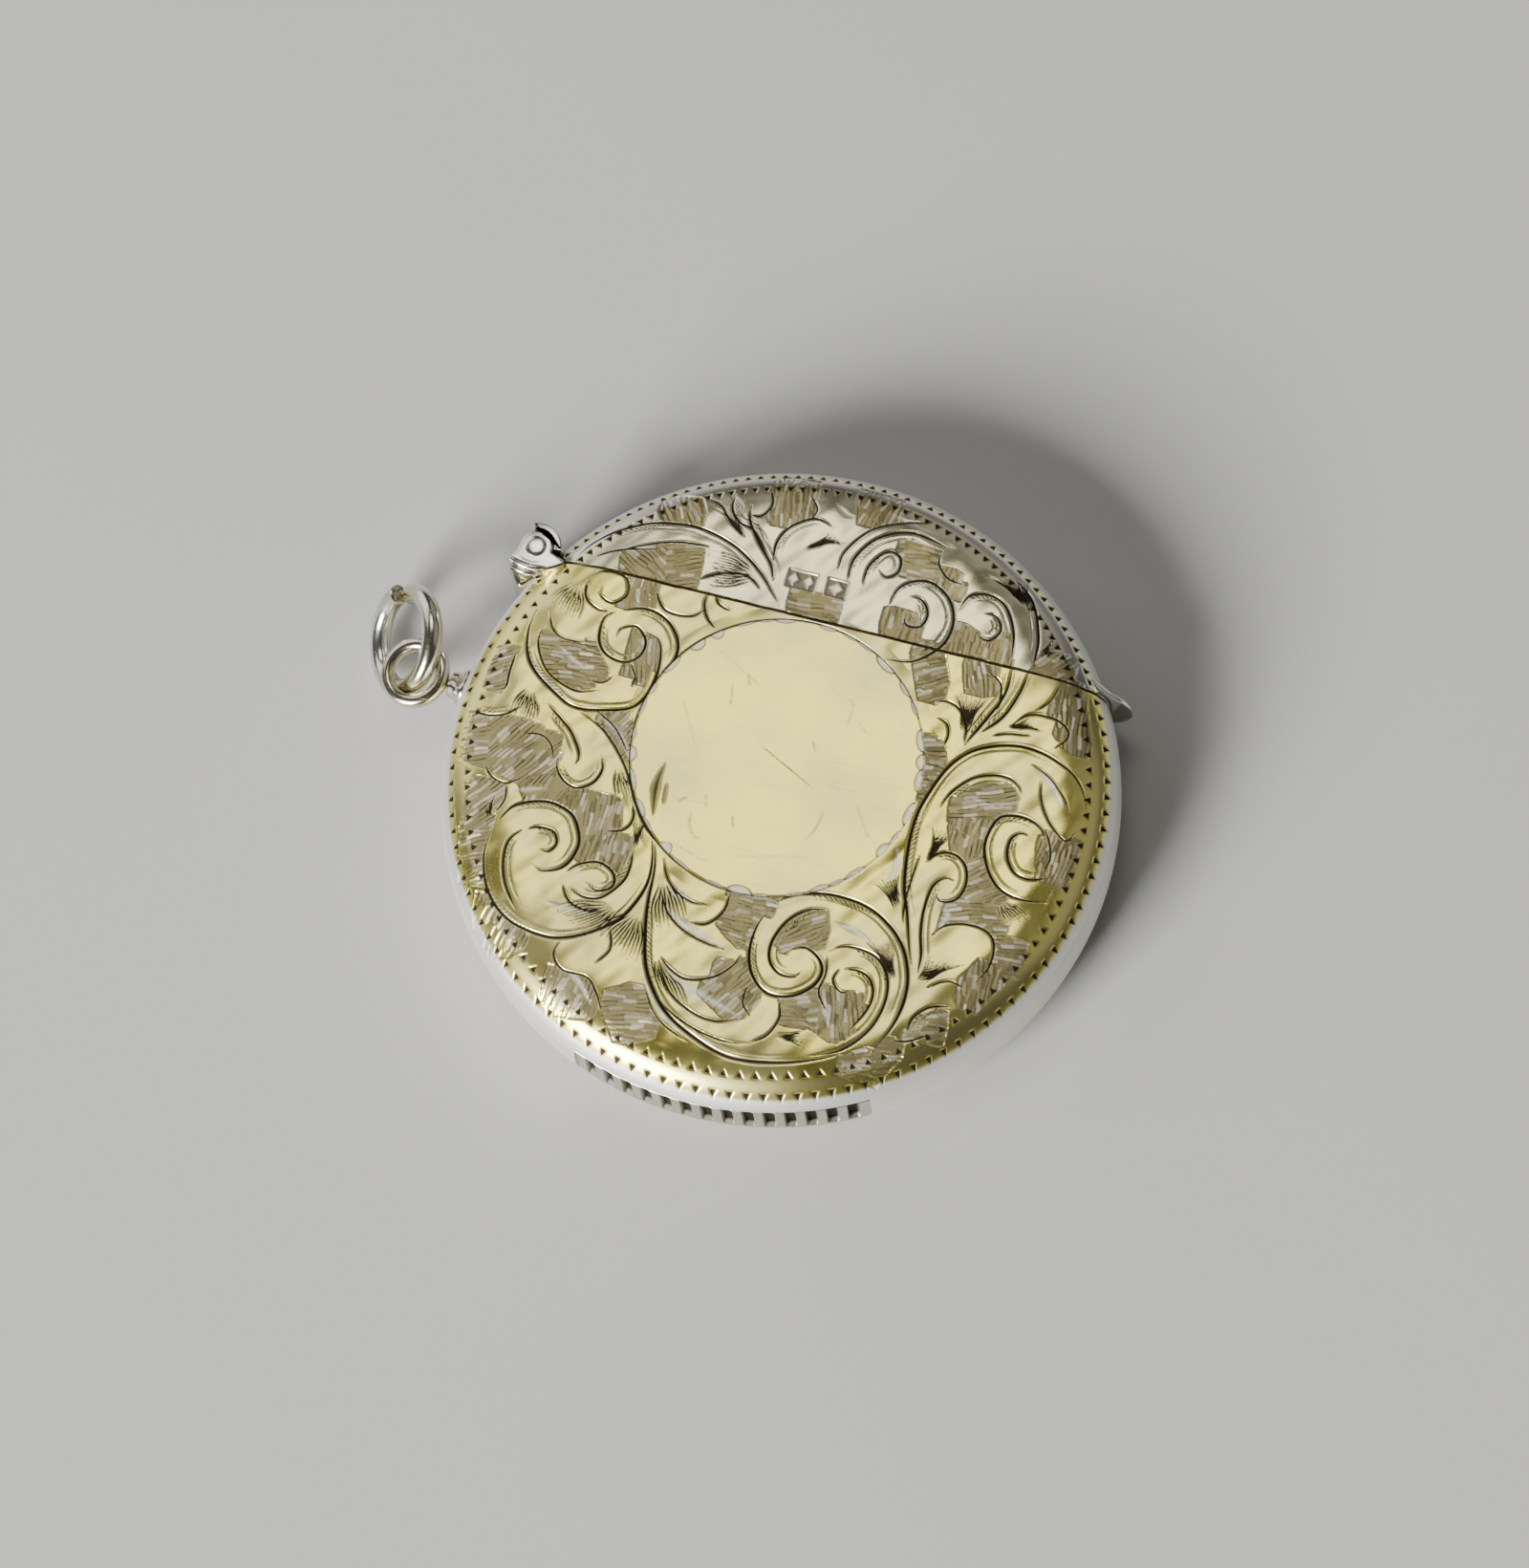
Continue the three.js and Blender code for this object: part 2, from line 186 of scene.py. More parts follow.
class VestaFinishes(bpy.types.PropertyGroup):
    """Colours of the metals and of the stage."""

    gilt: colour("Gilt", "Flats of the body", (0.88, 0.78, 0.20))
    gilt_pale: colour("Worn Gilt", "Flats of the lid", (0.78, 0.74, 0.46))
    gilt_rich: colour("Rich Gilt", "Polished band between the dots", (0.85, 0.76, 0.30))
    ground: colour("Ground", "Hatched ground between the leaves", (0.42, 0.36, 0.18))
    # near-white paint for highlights: the shallow facets, one flank of each cut, the lighter
    # ground strokes, the cartouche bites and the raised lozenges
    bright: colour("Bright Cut", "Bright cuts and cut edges", (0.98, 0.93, 0.76))
    tarnish: colour("Tarnish", "Black left in the bottom of a cut", (0.035, 0.028, 0.016))
    silver: colour("Silver", "Bands, hinge and rings", (0.80, 0.79, 0.74))
    silver_pale: colour("Rubbed Gilt", "Flats of the lid rubbed to silver", (0.79, 0.76, 0.55))
    silver_warm: colour("Warm Silver", "Yellowed patches on the silver", (0.52, 0.47, 0.25))
    striker: colour("Striker", "Ribs of the striker", (0.62, 0.61, 0.56))
    steel: colour("Steel", "The lid spring", (0.42, 0.43, 0.45))
    floor: colour("Floor", "The plain floor", (0.50, 0.50, 0.49))


def sizes():
    return bpy.context.scene.vesta_sizes


def finishes():
    return bpy.context.scene.vesta_finishes


# Engraving, laid out on a square chart of heights over one face


class Chart:
    """Heights and masks over a face, on a square grid of x and y in millimetres."""

    def __init__(self):
        self.axis = np.arange(-CHART_REACH, CHART_REACH + CHART_STEP, CHART_STEP)
        shape = (self.axis.size, self.axis.size)
        self.height = np.zeros(shape, np.float32)
        self.masks = {
            name: np.zeros(shape, np.float32)
            for name in MASKS
        }

    def window(self, low, high):
        """The chart's cells between two corners, and their x and y."""
        first = np.floor((np.asarray(low) + CHART_REACH) / CHART_STEP).astype(int)
        last = np.ceil((np.asarray(high) + CHART_REACH) / CHART_STEP).astype(int) + 1
        first, last = np.maximum(first, 0), np.minimum(last, self.axis.size)
        cells = (slice(first[1], last[1]), slice(first[0], last[0]))
        x, y = np.meshgrid(self.axis[cells[1]], self.axis[cells[0]])
        return cells, x, y

    def sink(self, cells, depth):
        self.height[cells] = np.minimum(self.height[cells], -depth)

    def shade(self, mask, cells, amount):
        self.masks[mask][cells] = np.maximum(self.masks[mask][cells], amount)

    def sample(self, layer, x, y):
        """A layer's value at each x and y, blended between the four cells round it."""
        column = np.clip((x + CHART_REACH) / CHART_STEP, 0, self.axis.size - 1.001)
        row = np.clip((y + CHART_REACH) / CHART_STEP, 0, self.axis.size - 1.001)
        i, j = row.astype(int), column.astype(int)
        down, along = row - i, column - j
        near = layer[i, j] * (1 - along) + layer[i, j + 1] * along
        far = layer[i + 1, j] * (1 - along) + layer[i + 1, j + 1] * along
        return near * (1 - down) + far * down


def curve_through(points, step=0.06):
    """A smooth line through points: a Catmull-Rom cubic on each stretch, evenly stepped."""
    points = np.reshape(np.asarray(points, float), (-1, 2))
    padded = np.vstack([2 * points[0] - points[1], points, 2 * points[-1] - points[-2]])
    t = np.linspace(0, 1, 20, endpoint=False)[:, None]
    stretches = [
        0.5 * (
            2 * b + (c - a) * t + (2 * a - 5 * b + 4 * c - d) * t**2
            + (3 * b - a - 3 * c + d) * t**3
        )
        for a, b, c, d in zip(padded, padded[1:], padded[2:], padded[3:])
    ]
    line = np.vstack([*stretches, points[-1:]])
    run = np.append(0, np.cumsum(np.hypot(*np.diff(line, axis=0).T)))
    even = np.linspace(0, run[-1], max(8, int(run[-1] / step)))
    return np.column_stack([np.interp(even, run, line[:, k]) for k in (0, 1)])


def carve(chart, points, width, depth, lean=0.4, tone=1.0, peak=None, mask="cut"):
    """Cuts a V along a line. Its width swells from both ends, or up to the share peak of its
    length and away again. The bottom lies at the share lean of the half width to one side."""
    line = curve_through(points) + ORNAMENT_SHIFT
    run = np.linspace(0, 1, len(line))
    if peak is None:
        swell = np.clip(np.minimum(run, 1 - run) / 0.22, 0.05, 1) ** 0.6
    else:
        swell = np.clip(np.minimum(run / peak, (1 - run) / (1 - peak)), 0.05, 1) ** 0.8
    half = width / 2 * swell
    forward = np.gradient(line, axis=0)
    forward /= np.hypot(*forward.T)[:, None]
    stride = 36
    for first in range(0, len(line) - 1, stride):
        part = slice(first, first + stride + 2)
        x0, y0 = line[part].T
        reach = half[part].max()
        cells, x, y = chart.window(line[part].min(0) - reach, line[part].max(0) + reach)
        if x.size == 0:
            continue
        dx, dy = x[..., None] - x0, y[..., None] - y0
        gap = dx**2 + dy**2
        near = gap.argmin(-1)[..., None]
        side = dy * forward[part, 0] - dx * forward[part, 1]
        away = np.sqrt(np.take_along_axis(gap, near, -1)[..., 0])
        side = np.sign(np.take_along_axis(side, near, -1)[..., 0])
        reach_here = half[part][near[..., 0]]
        across = side * away / reach_here
        fall = np.where(
            across < lean, (1 + across) / (1 + lean), (1 - across) / (1 - lean),
        )
        fall = np.clip(fall, 0, 1)
        chart.sink(cells, depth * np.minimum(reach_here * 2 / width, 1) * fall)
        chart.shade(mask, cells, tone * fall)
        if mask == "cut":
            # a painted highlight along one flank of each cut
            flank = np.clip(3 * fall, 0, 1) * np.clip(2.4 - 4 * fall, 0, 1) * (across < lean)
            chart.shade("bright", cells, 0.7 * tone * flank)


def echo(points, distance):
    """The middle part of a line, moved towards the inside of its bend."""
    line = curve_through(points, 0.4)
    forward = np.gradient(line, axis=0)
    forward /= np.hypot(*forward.T)[:, None]
    turning = forward[:-1, 0] * forward[1:, 1] - forward[:-1, 1] * forward[1:, 0]
    side = 1 if turning.sum() > 0 else -1
    normal = side * np.column_stack([-forward[:, 1], forward[:, 0]])
    keep = slice(len(line) // 8, len(line) - len(line) // 8)
    return (line + distance * normal)[keep]


def shade_bend(chart, points, spacing=0.3, reach=0.85):
    """Short tapered cuts that lean forward from the inside of a line's first bend."""
    line, inner = curve_through(points, spacing), echo(points, 1.0)
    if len(inner) < 4:
        return
    start = len(line) // 6
    stop = start + max(4, len(line) // 4)
    forward = np.gradient(line, axis=0)
    forward /= np.hypot(*forward.T)[:, None]
    side = np.sign(np.cross(forward[stop - 2], inner[len(inner) // 3] - line[stop - 2]))
    for index in range(start, min(stop, len(line) - 1)):
        long = reach * math.sin(math.pi * (index - start + 1) / (stop - start + 1))
        ahead, out = forward[index], side * np.array([-forward[index, 1], forward[index, 0]])
        root = line[index] + 0.1 * out
        tip = root + long * (0.8 * out + 0.75 * ahead)
        middle = root + long * (0.35 * out + 0.48 * ahead)
        carve(chart, [*root, *middle, *tip], 0.14, 0.05, 0.3, 0.95, peak=0.25)


def fan(chart, base, first, last, count, width=0.17, depth=0.08, bend=0.16):
    """Tapered cuts that spread from base to the line between first and last."""
    base, first, last = (np.array(p, float) for p in (base, first, last))
    count = round(1.6 * count)
    for index in range(count):
        share = index / (count - 1)
        tip = first + (last - first) * share
        reach = tip - base
        normal = np.array([-reach[1], reach[0]])
        start = base + reach * (0.16 + 0.16 * (index % 2))
        middle = base + reach * 0.55 + normal * bend * (share - 0.5)
        end = base + reach * (1.0 - 0.1 * (index % 2))
        carve(chart, [*start, *middle, *end], width, depth, 0.35, 1.0, peak=0.3)


def inside(x, y, corners):
    """Whether each point lies within a polygon, by counting the sides crossed."""
    result = np.zeros(x.shape, bool)
    for (xa, ya), (xb, yb) in zip(corners, np.roll(corners, -1, axis=0)):
        if ya != yb:
            crossing = (ya > y) != (yb > y)
            result ^= crossing & (x < (xb - xa) * (y - ya) / (yb - ya) + xa)
    return result


def scatter(first, second):
    """A number between 0 and 1 that jumps about with two whole numbers."""
    return (np.sin(first * 12.9898 + second * 78.233) * 43758.5453) % 1


def lay_ground(chart):
    """Sinks the ground between the leaves and rules it with short parallel strokes.

    Every patch first grows from its outline until it meets an engraved line or has gone
    as far as the ground reach. A stroke's tone is scattered by its row and its place."""
    label = np.zeros(chart.height.shape, int)
    for index, (_, *corners) in enumerate(GROUND_PATCHES, 1):
        corners = np.reshape(corners, (-1, 2)) + ORNAMENT_SHIFT
        cells, x, y = chart.window(corners.min(0), corners.max(0))
        label[cells] = np.where(inside(x, y, corners), index, label[cells])
    wall = chart.masks["cut"] > 0.25
    label[wall] = 0
    for _ in range(int(GROUND_REACH / CHART_STEP)):
        for shift, axis in ((1, 0), (-1, 0), (1, 1), (-1, 1)):
            spread = np.roll(label, shift, axis)
            label = np.where((label == 0) & ~wall, spread, label)
    patch = label > 0
    turn = np.radians([0, *(row[0] for row in GROUND_PATCHES)])[label]
    x, y = np.meshgrid(chart.axis, chart.axis)
    across = y * np.cos(turn) - x * np.sin(turn)
    along = x * np.cos(turn) + y * np.sin(turn)
    phase = across / (sizes().hatch_pitch / MM) + 0.2 * np.sin(along * 2.1 + 3 * across)
    row = np.floor(phase)
    place = np.floor(along / STROKE_LENGTH + 3 * scatter(row, label))
    tone = scatter(row + label, place)
    ridge = np.abs(phase % 1 - 0.5) * 2
    tilt = FACET_FALL * (scatter(place, row) - 0.5) * (phase % 1 - 0.5)
    depth = sizes().ground_depth / MM * (1.2 + 0.5 * tone) + tilt
    chart.height = np.where(patch, np.minimum(chart.height, -depth), chart.height)
    whole = (slice(None), slice(None))
    chart.shade("ground", whole, patch * 1.0)
    between = np.clip(2.4 * ridge - 1.1, 0, 1)
    # the furrows between strokes, and strokes of low tone, are darkened with the tarnish colour
    chart.shade("cut", whole, patch * (0.2 + 0.4 * (tone < 0.35)) * between)
    # strokes of high tone get a painted highlight
    chart.shade("bright", whole, patch * np.clip(2.6 * tone - 1.7, 0, 0.8) * (ridge < 0.7))


# Lines of the ornament: width in mm, lean, then the x and y of its points

BODY_LINES = (
    # scroll under the hinge
    (0.30, 0.4, -17.6, 7.4, -17.8, 5.5, -17.0, 3.4, -14.8, 1.8, -13.2, 1.3, -10.5, 1.9,
     -9.4, 2.9, -9.05, 5.0, -9.6, 6.9, -11.2, 7.3),
    (0.20, -0.3, -16.9, 6.4, -16.9, 4.9, -15.8, 3.2, -13.9, 2.4, -12.2, 2.7),
    (0.30, 0.4, -12.5, 8.2, -11.0, 8.7, -9.5, 8.3, -8.5, 7.2, -8.3, 6.0, -8.9, 4.6),
    (0.28, -0.4, -12.6, 8.2, -13.3, 7.4, -13.2, 6.0, -12.5, 5.2, -11.3, 5.0, -10.5, 5.6,
     -10.4, 6.6, -11.2, 7.4, -12.1, 7.0, -12.2, 6.2),
    (0.18, 0.3, -13.0, 3.2, -12.2, 3.3, -11.7, 3.8),
    (0.20, 0.3, -10.9, 4.9, -10.4, 4.2, -10.4, 3.4),
    (0.26, 0.3, -18.1, 4.0, -18.15, 2.6, -18.1, 1.6, -18.4, 1.2),
    (0.26, 0.3, -19.8, -0.4, -18.6, -0.5, -17.5, -0.2, -16.7, 0.5),
    (0.20, 0.3, -16.9, 7.2, -16.3, 6.0, -15.4, 5.5, -13.8, 5.6),
    (0.24, 0.4, -15.1, 9.9, -14.9, 8.6, -14.1, 8.0, -13.2, 7.9),
    (0.24, 0.3, -15.1, 9.8, -14.2, 10.5, -12.8, 10.4, -12.4, 9.4, -13.1, 8.6, -14.0, 8.9,
     -14.0, 9.6),
    (0.24, 0.4, -10.5, 10.6, -10.6, 9.9, -9.9, 9.0, -8.9, 8.8, -7.9, 9.0, -7.3, 9.6),
    (0.24, 0.4, -7.5, 10.8, -7.5, 9.9, -7.1, 9.1, -6.4, 8.5),
    (0.24, -0.4, -6.9, 10.7, -6.6, 10.2, -5.8, 9.9),
    # scroll left of the cartouche
    (0.26, 0.4, -15.2, 1.1, -13.5, -0.1, -12.7, -1.0, -12.3, -1.8, -12.4, -2.4),
    (0.26, 0.4, -13.6, -2.0, -13.4, -2.9, -12.7, -3.6, -11.8, -3.8, -10.9, -3.2, -10.6, -2.2,
     -11.0, -1.3),
    (0.20, 0.3, -16.2, -1.2, -15.0, -1.0, -14.2, -1.5, -13.8, -2.4),
    (0.22, 0.3, -13.3, 1.2, -11.2, 0.2, -9.4, -1.6, -8.2, -3.6, -7.0, -5.2, -5.6, -6.3),
    (0.20, -0.3, -12.2, 1.5, -10.6, 0.6, -9.3, -0.9),
    (0.22, 0.3, -18.0, -3.6, -17.2, -4.4, -16.2, -4.6, -15.4, -4.0),
    (0.22, 0.3, -16.2, -4.6, -16.0, -5.6, -16.3, -6.6),
    # volutes at the lower left
    (0.32, 0.4, -16.0, -7.2, -15.3, -6.0, -14.1, -5.3, -12.9, -5.15, -11.6, -5.6, -10.8, -6.9,
     -10.8, -8.0, -11.3, -9.0, -12.4, -9.5, -13.2, -9.3),
    (0.26, -0.4, -14.1, -7.2, -13.4, -6.8, -12.4, -6.9, -12.0, -7.6, -12.3, -8.2, -13.0, -8.3),
    (0.28, 0.4, -14.3, -7.2, -15.0, -8.2, -14.95, -9.6, -14.4, -11.0, -13.2, -12.5),
    (0.32, 0.4, -16.2, -7.3, -16.3, -9.4, -15.4, -11.6, -13.6, -13.1, -11.2, -13.6, -9.6, -13.3,
     -8.0, -12.4, -6.8, -11.3, -6.1, -9.9, -5.8, -8.5, -6.0, -6.9, -6.5, -5.6),
    (0.26, 0.4, -11.0, -9.3, -10.2, -8.5, -9.1, -8.15, -8.1, -8.6, -7.9, -9.4, -8.7, -9.9,
     -9.6, -9.6),
    (0.26, 0.4, -7.3, -6.6, -7.2, -8.0, -7.4, -9.0, -8.3, -10.2, -9.3, -10.5, -10.5, -10.2),
    (0.22, -0.3, -11.0, -10.0, -10.2, -11.0, -9.1, -11.3, -8.1, -11.1),
    (0.24, 0.4, -8.2, -3.9, -7.9, -4.8, -8.2, -5.6, -9.3, -6.1),
    (0.24, 0.4, -10.0, -13.5, -10.2, -14.6, -9.4, -15.4, -7.8, -15.5, -6.9, -16.4, -6.2, -17.6),
    (0.20, 0.3, -7.3, -12.0, -6.9, -13.4, -7.6, -14.6),
    # leaves at the bottom
    (0.36, 0.4, -6.2, -5.9, -5.7, -7.6, -5.5, -9.8, -5.1, -11.9, -4.3, -14.2, -2.6, -16.3,
     -0.2, -17.6, 2.2, -18.2, 5.0, -17.8, 7.5, -16.9, 9.2, -15.9),
    (0.20, 0.3, -5.4, -6.8, -4.6, -8.2, -3.2, -9.1, -1.6, -9.2),
    (0.24, 0.4, -0.7, -8.0, -0.8, -9.2, -1.5, -10.2, -2.6, -10.5),
    (0.20, 0.3, -5.1, -8.6, -4.0, -10.3, -2.2, -11.3, 0.2, -11.7),
    (0.24, 0.4, 1.1, -11.5, 0.7, -12.5, -0.3, -13.5, -1.8, -14.0, -3.0, -13.6, -3.9, -12.9),
    (0.22, 0.3, -3.9, -13.1, -2.8, -14.9, -1.2, -15.9, 0.6, -16.2, 2.6, -15.5),
    (0.20, 0.3, -4.4, -13.9, -3.0, -15.8, -0.8, -16.9, 1.6, -17.3, 3.4, -17.0),
    (0.18, -0.3, -4.3, -15.0, -2.8, -16.9, -0.4, -18.0),
    # big volute at the lower right
    (0.32, 0.4, 2.0, -8.3, 1.5, -9.5, 1.4, -11.0, 1.8, -12.4, 2.7, -13.4, 3.7, -13.7,
     4.9, -13.4, 5.9, -12.5, 6.2, -11.5, 5.8, -10.7, 4.8, -10.2, 3.9, -10.6, 3.8, -11.2),
    (0.28, -0.4, 5.6, -7.5, 4.4, -7.8, 3.3, -8.8, 2.7, -10.3, 2.85, -11.5, 3.6, -12.2,
     4.6, -12.2, 5.0, -11.7),
    (0.34, 0.4, 1.9, -8.1, 3.2, -7.2, 5.0, -6.6, 7.0, -6.6, 8.6, -7.1, 10.2, -8.3, 11.1, -9.8,
     11.5, -11.5, 11.3, -13.6, 10.4, -15.8),
    (0.28, 0.4, 6.0, -10.3, 7.0, -9.6, 8.2, -9.5, 9.4, -9.9, 10.2, -11.0, 10.4, -12.6,
     9.9, -14.4, 8.6, -16.0, 6.6, -17.0),
    (0.26, -0.4, 7.3, -11.0, 8.3, -10.8, 9.1, -11.1, 9.6, -12.0, 9.5, -13.2, 8.7, -14.9),
    (0.22, -0.4, 7.2, -11.0, 7.0, -11.8, 7.6, -12.4, 8.3, -12.2),
    (0.22, 0.4, 6.2, -10.4, 6.4, -11.6, 6.3, -12.8, 7.2, -14.0),
    (0.24, 0.4, 4.1, -13.9, 4.4, -15.0, 4.0, -16.2, 3.1, -17.0),
    (0.20, -0.3, 2.0, -13.4, 2.0, -14.6, 2.7, -15.4),
    # stem and volutes on the right
    (0.34, -0.4, 11.6, -10.2, 11.0, -8.8, 10.2, -6.5, 9.6, -5.0, 9.2, -3.0, 9.05, -1.2,
     9.2, 0.6, 10.0, 3.1, 11.0, 4.5, 12.2, 5.3, 13.6, 5.75, 15.2, 5.8, 16.7, 5.4, 18.0, 4.7,
     18.8, 3.7, 19.1, 2.6),
    (0.26, 0.3, 10.3, 0.5, 10.8, 1.8, 11.8, 2.95, 12.9, 3.5, 13.9, 3.6, 14.7, 3.2, 15.1, 2.6),
    (0.20, -0.3, 10.2, -7.4, 9.9, -6.0, 9.9, -4.2, 10.0, -2.4),
    (0.32, 0.4, 17.2, -0.1, 16.9, 0.8, 16.0, 1.3, 15.0, 1.35, 14.1, 1.0, 13.7, 0.0, 13.7, -1.3,
     14.4, -2.7, 15.4, -3.6, 16.8, -3.9, 18.5, -3.6),
    (0.30, 0.4, 16.3, 0.2, 15.6, 0.3, 15.1, -0.3, 15.2, -1.4, 15.9, -2.3, 16.9, -2.5,
     18.1, -2.1),
    (0.22, 0.3, 15.9, 4.2, 16.2, 2.9, 16.9, 1.7, 18.0, 0.7, 18.6, 0.6, 18.9, 1.5),
    (0.18, 0.3, 14.9, 4.9, 16.3, 4.3, 17.6, 3.2, 18.3, 2.2),
    (0.22, 0.3, 16.9, 0.9, 17.4, 0.3, 17.8, -0.8, 17.6, -1.8),
    (0.24, 0.4, 8.2, 7.3, 9.0, 7.5, 9.9, 7.1, 10.5, 6.2, 10.7, 5.0),
    (0.22, -0.3, 8.6, 6.3, 9.3, 6.1, 9.6, 5.4, 9.5, 4.5),
    (0.24, 0.4, 10.9, 10.0, 11.8, 9.5, 12.1, 8.5, 12.1, 7.6),
    (0.28, 0.3, 10.7, 4.9, 11.6, 6.9, 12.3, 8.8, 12.35, 10.9),
    (0.28, 0.3, 11.5, 6.0, 12.6, 7.4, 13.2, 9.2, 13.4, 10.9),
    (0.22, 0.3, 12.2, 6.0, 13.2, 6.4, 14.6, 6.6),
    (0.24, 0.3, 13.2, 6.9, 14.1, 7.9, 15.3, 8.1, 16.4, 7.8, 16.8, 7.1, 16.1, 6.0),
    (0.20, 0.3, 14.4, 8.2, 15.2, 9.2, 15.5, 10.6),
    (0.28, 0.4, 10.4, -3.1, 11.2, -2.2, 12.1, -2.1, 12.9, -2.7, 13.2, -3.8, 12.9, -4.8,
     12.1, -5.2, 11.5, -4.9),
    (0.28, -0.4, 12.6, -3.8, 11.9, -3.7, 11.3, -4.5, 11.2, -6.0, 11.4, -7.5, 11.8, -8.9,
     11.9, -10.3),
    (0.24, 0.4, 12.0, -7.8, 12.6, -6.8, 13.8, -6.3, 15.2, -6.4, 15.9, -7.1, 16.0, -8.5,
     15.4, -9.8),
    (0.20, 0.3, 12.6, -10.9, 13.8, -10.1, 15.0, -10.3),
    (0.26, 0.4, 12.2, -14.0, 12.4, -12.9, 13.2, -12.0, 14.4, -11.6),
    (0.22, 0.3, 11.4, -14.6, 12.4, -14.4, 13.6, -13.6),
)

LID_LINES = (
    (0.30, 0.4, -16.4, 11.0, -15.4, 12.5, -14.0, 13.6, -12.0, 14.5, -9.4, 14.8, -6.9, 14.2,
     -4.9, 13.0, -3.5, 11.6, -2.9, 10.9),
    (0.22, -0.3, -14.1, 11.9, -12.2, 12.9, -10.1, 13.6, -8.0, 13.7),
    (0.20, 0.3, -15.4, 11.2, -13.6, 12.2, -11.0, 12.8),
    (0.24, 0.3, -8.5, 11.3, -7.0, 12.2, -5.4, 12.4, -4.2, 11.6),
    (0.26, 0.4, -7.7, 17.8, -7.6, 16.6, -6.9, 15.8, -5.8, 15.4, -4.5, 14.0),
    (0.26, 0.4, -6.5, 17.3, -6.3, 16.1, -5.3, 14.7, -4.2, 13.5, -3.7, 12.3),
    (0.24, -0.4, -5.7, 18.7, -5.2, 17.6, -5.6, 16.6, -6.4, 16.4),
    (0.22, 0.3, -9.4, 17.0, -8.3, 16.6, -7.4, 15.6, -6.2, 14.8),
    (0.26, 0.3, -4.1, 13.6, -4.2, 15.1, -3.6, 16.3, -2.3, 17.2, -1.0, 16.9),
    (0.24, 0.3, 0.0, 14.0, 0.1, 15.5, 1.3, 17.3, 3.2, 18.4, 5.0, 18.9),
    (0.28, 0.4, 0.8, 13.4, 0.8, 15.2, 1.9, 16.9, 3.8, 17.8, 6.5, 17.4),
    (0.26, -0.4, 1.7, 13.4, 1.8, 15.0, 2.7, 16.2, 3.6, 16.0, 3.7, 15.0, 3.0, 14.5, 2.3, 15.0),
    (0.30, 0.4, 3.7, 12.4, 4.0, 13.9, 4.9, 14.7, 6.1, 14.8, 7.3, 14.0, 7.9, 12.6, 7.6, 11.0,
     6.2, 9.6, 4.4, 9.2),
    (0.26, 0.4, 4.7, 13.6, 5.6, 13.6, 6.2, 12.8, 6.0, 11.9, 5.1, 11.8, 4.8, 12.5),
    (0.28, 0.4, 8.0, 13.4, 8.5, 14.6, 9.7, 15.0, 10.8, 14.5, 11.7, 13.0, 12.1, 11.0),
    (0.26, 0.4, 9.6, 13.7, 10.4, 13.7, 10.9, 12.9, 10.4, 12.1, 9.5, 12.2),
    (0.30, 0.3, 10.9, 16.6, 12.3, 15.4, 13.3, 13.1, 13.5, 11.0),
    (0.22, 0.3, 6.0, 17.2, 6.0, 16.2, 6.8, 15.4, 8.0, 15.2),
    (0.20, 0.3, -3.2, 18.9, -2.4, 17.9, -2.6, 17.0),
)

LEAF_FANS = (
    # base, first tip, last tip, cuts
    (-15.5, 9.8, -17.4, 7.3, -14.9, 6.4, 7),
    (-16.5, 2.3, -17.4, -0.4, -15.5, -0.9, 6),
    (-16.4, -7.4, -17.5, -6.2, -16.6, -5.0, 4),
    (-6.6, -10.2, -11.9, -12.2, -9.0, -13.2, 8),
    (-5.7, -10.2, -8.6, -13.2, -4.9, -14.4, 9),
    (-5.2, -7.6, -4.4, -12.2, -2.5, -10.8, 6),
    (-7.2, -7.2, -8.0, -4.9, -6.6, -4.0, 4),
    (-4.2, -12.9, -3.0, -15.3, -0.6, -16.6, 5),
    (4.0, -16.3, 6.6, -15.0, 6.7, -16.6, 4),
    (10.9, -11.4, 7.6, -8.6, 10.1, -8.4, 7),
    (11.9, -11.2, 12.1, -8.6, 15.0, -8.6, 7),
    (10.5, -3.6, 10.2, -0.4, 11.9, -0.5, 6),
    (10.0, -6.9, 7.4, -5.0, 9.0, -3.4, 5),
    (15.1, -4.1, 16.6, -5.9, 18.2, -5.2, 5),
    (10.6, 5.0, 8.9, 8.6, 11.7, 8.9, 8),
    (12.6, 6.6, 14.4, 7.9, 15.8, 7.0, 5),
    (-10.0, -1.4, -8.9, -4.2, -7.9, -4.4, 4),
    (-4.1, 12.6, -8.6, 13.5, -8.4, 11.2, 8),
    (-5.8, 14.4, -9.3, 16.6, -7.4, 16.9, 4),
    (-2.9, 14.7, -0.9, 17.0, 0.6, 16.2, 6),
    (12.9, 14.4, 7.9, 16.4, 11.4, 17.4, 8),
    (13.4, 11.4, 14.2, 14.0, 15.4, 12.8, 4),
)
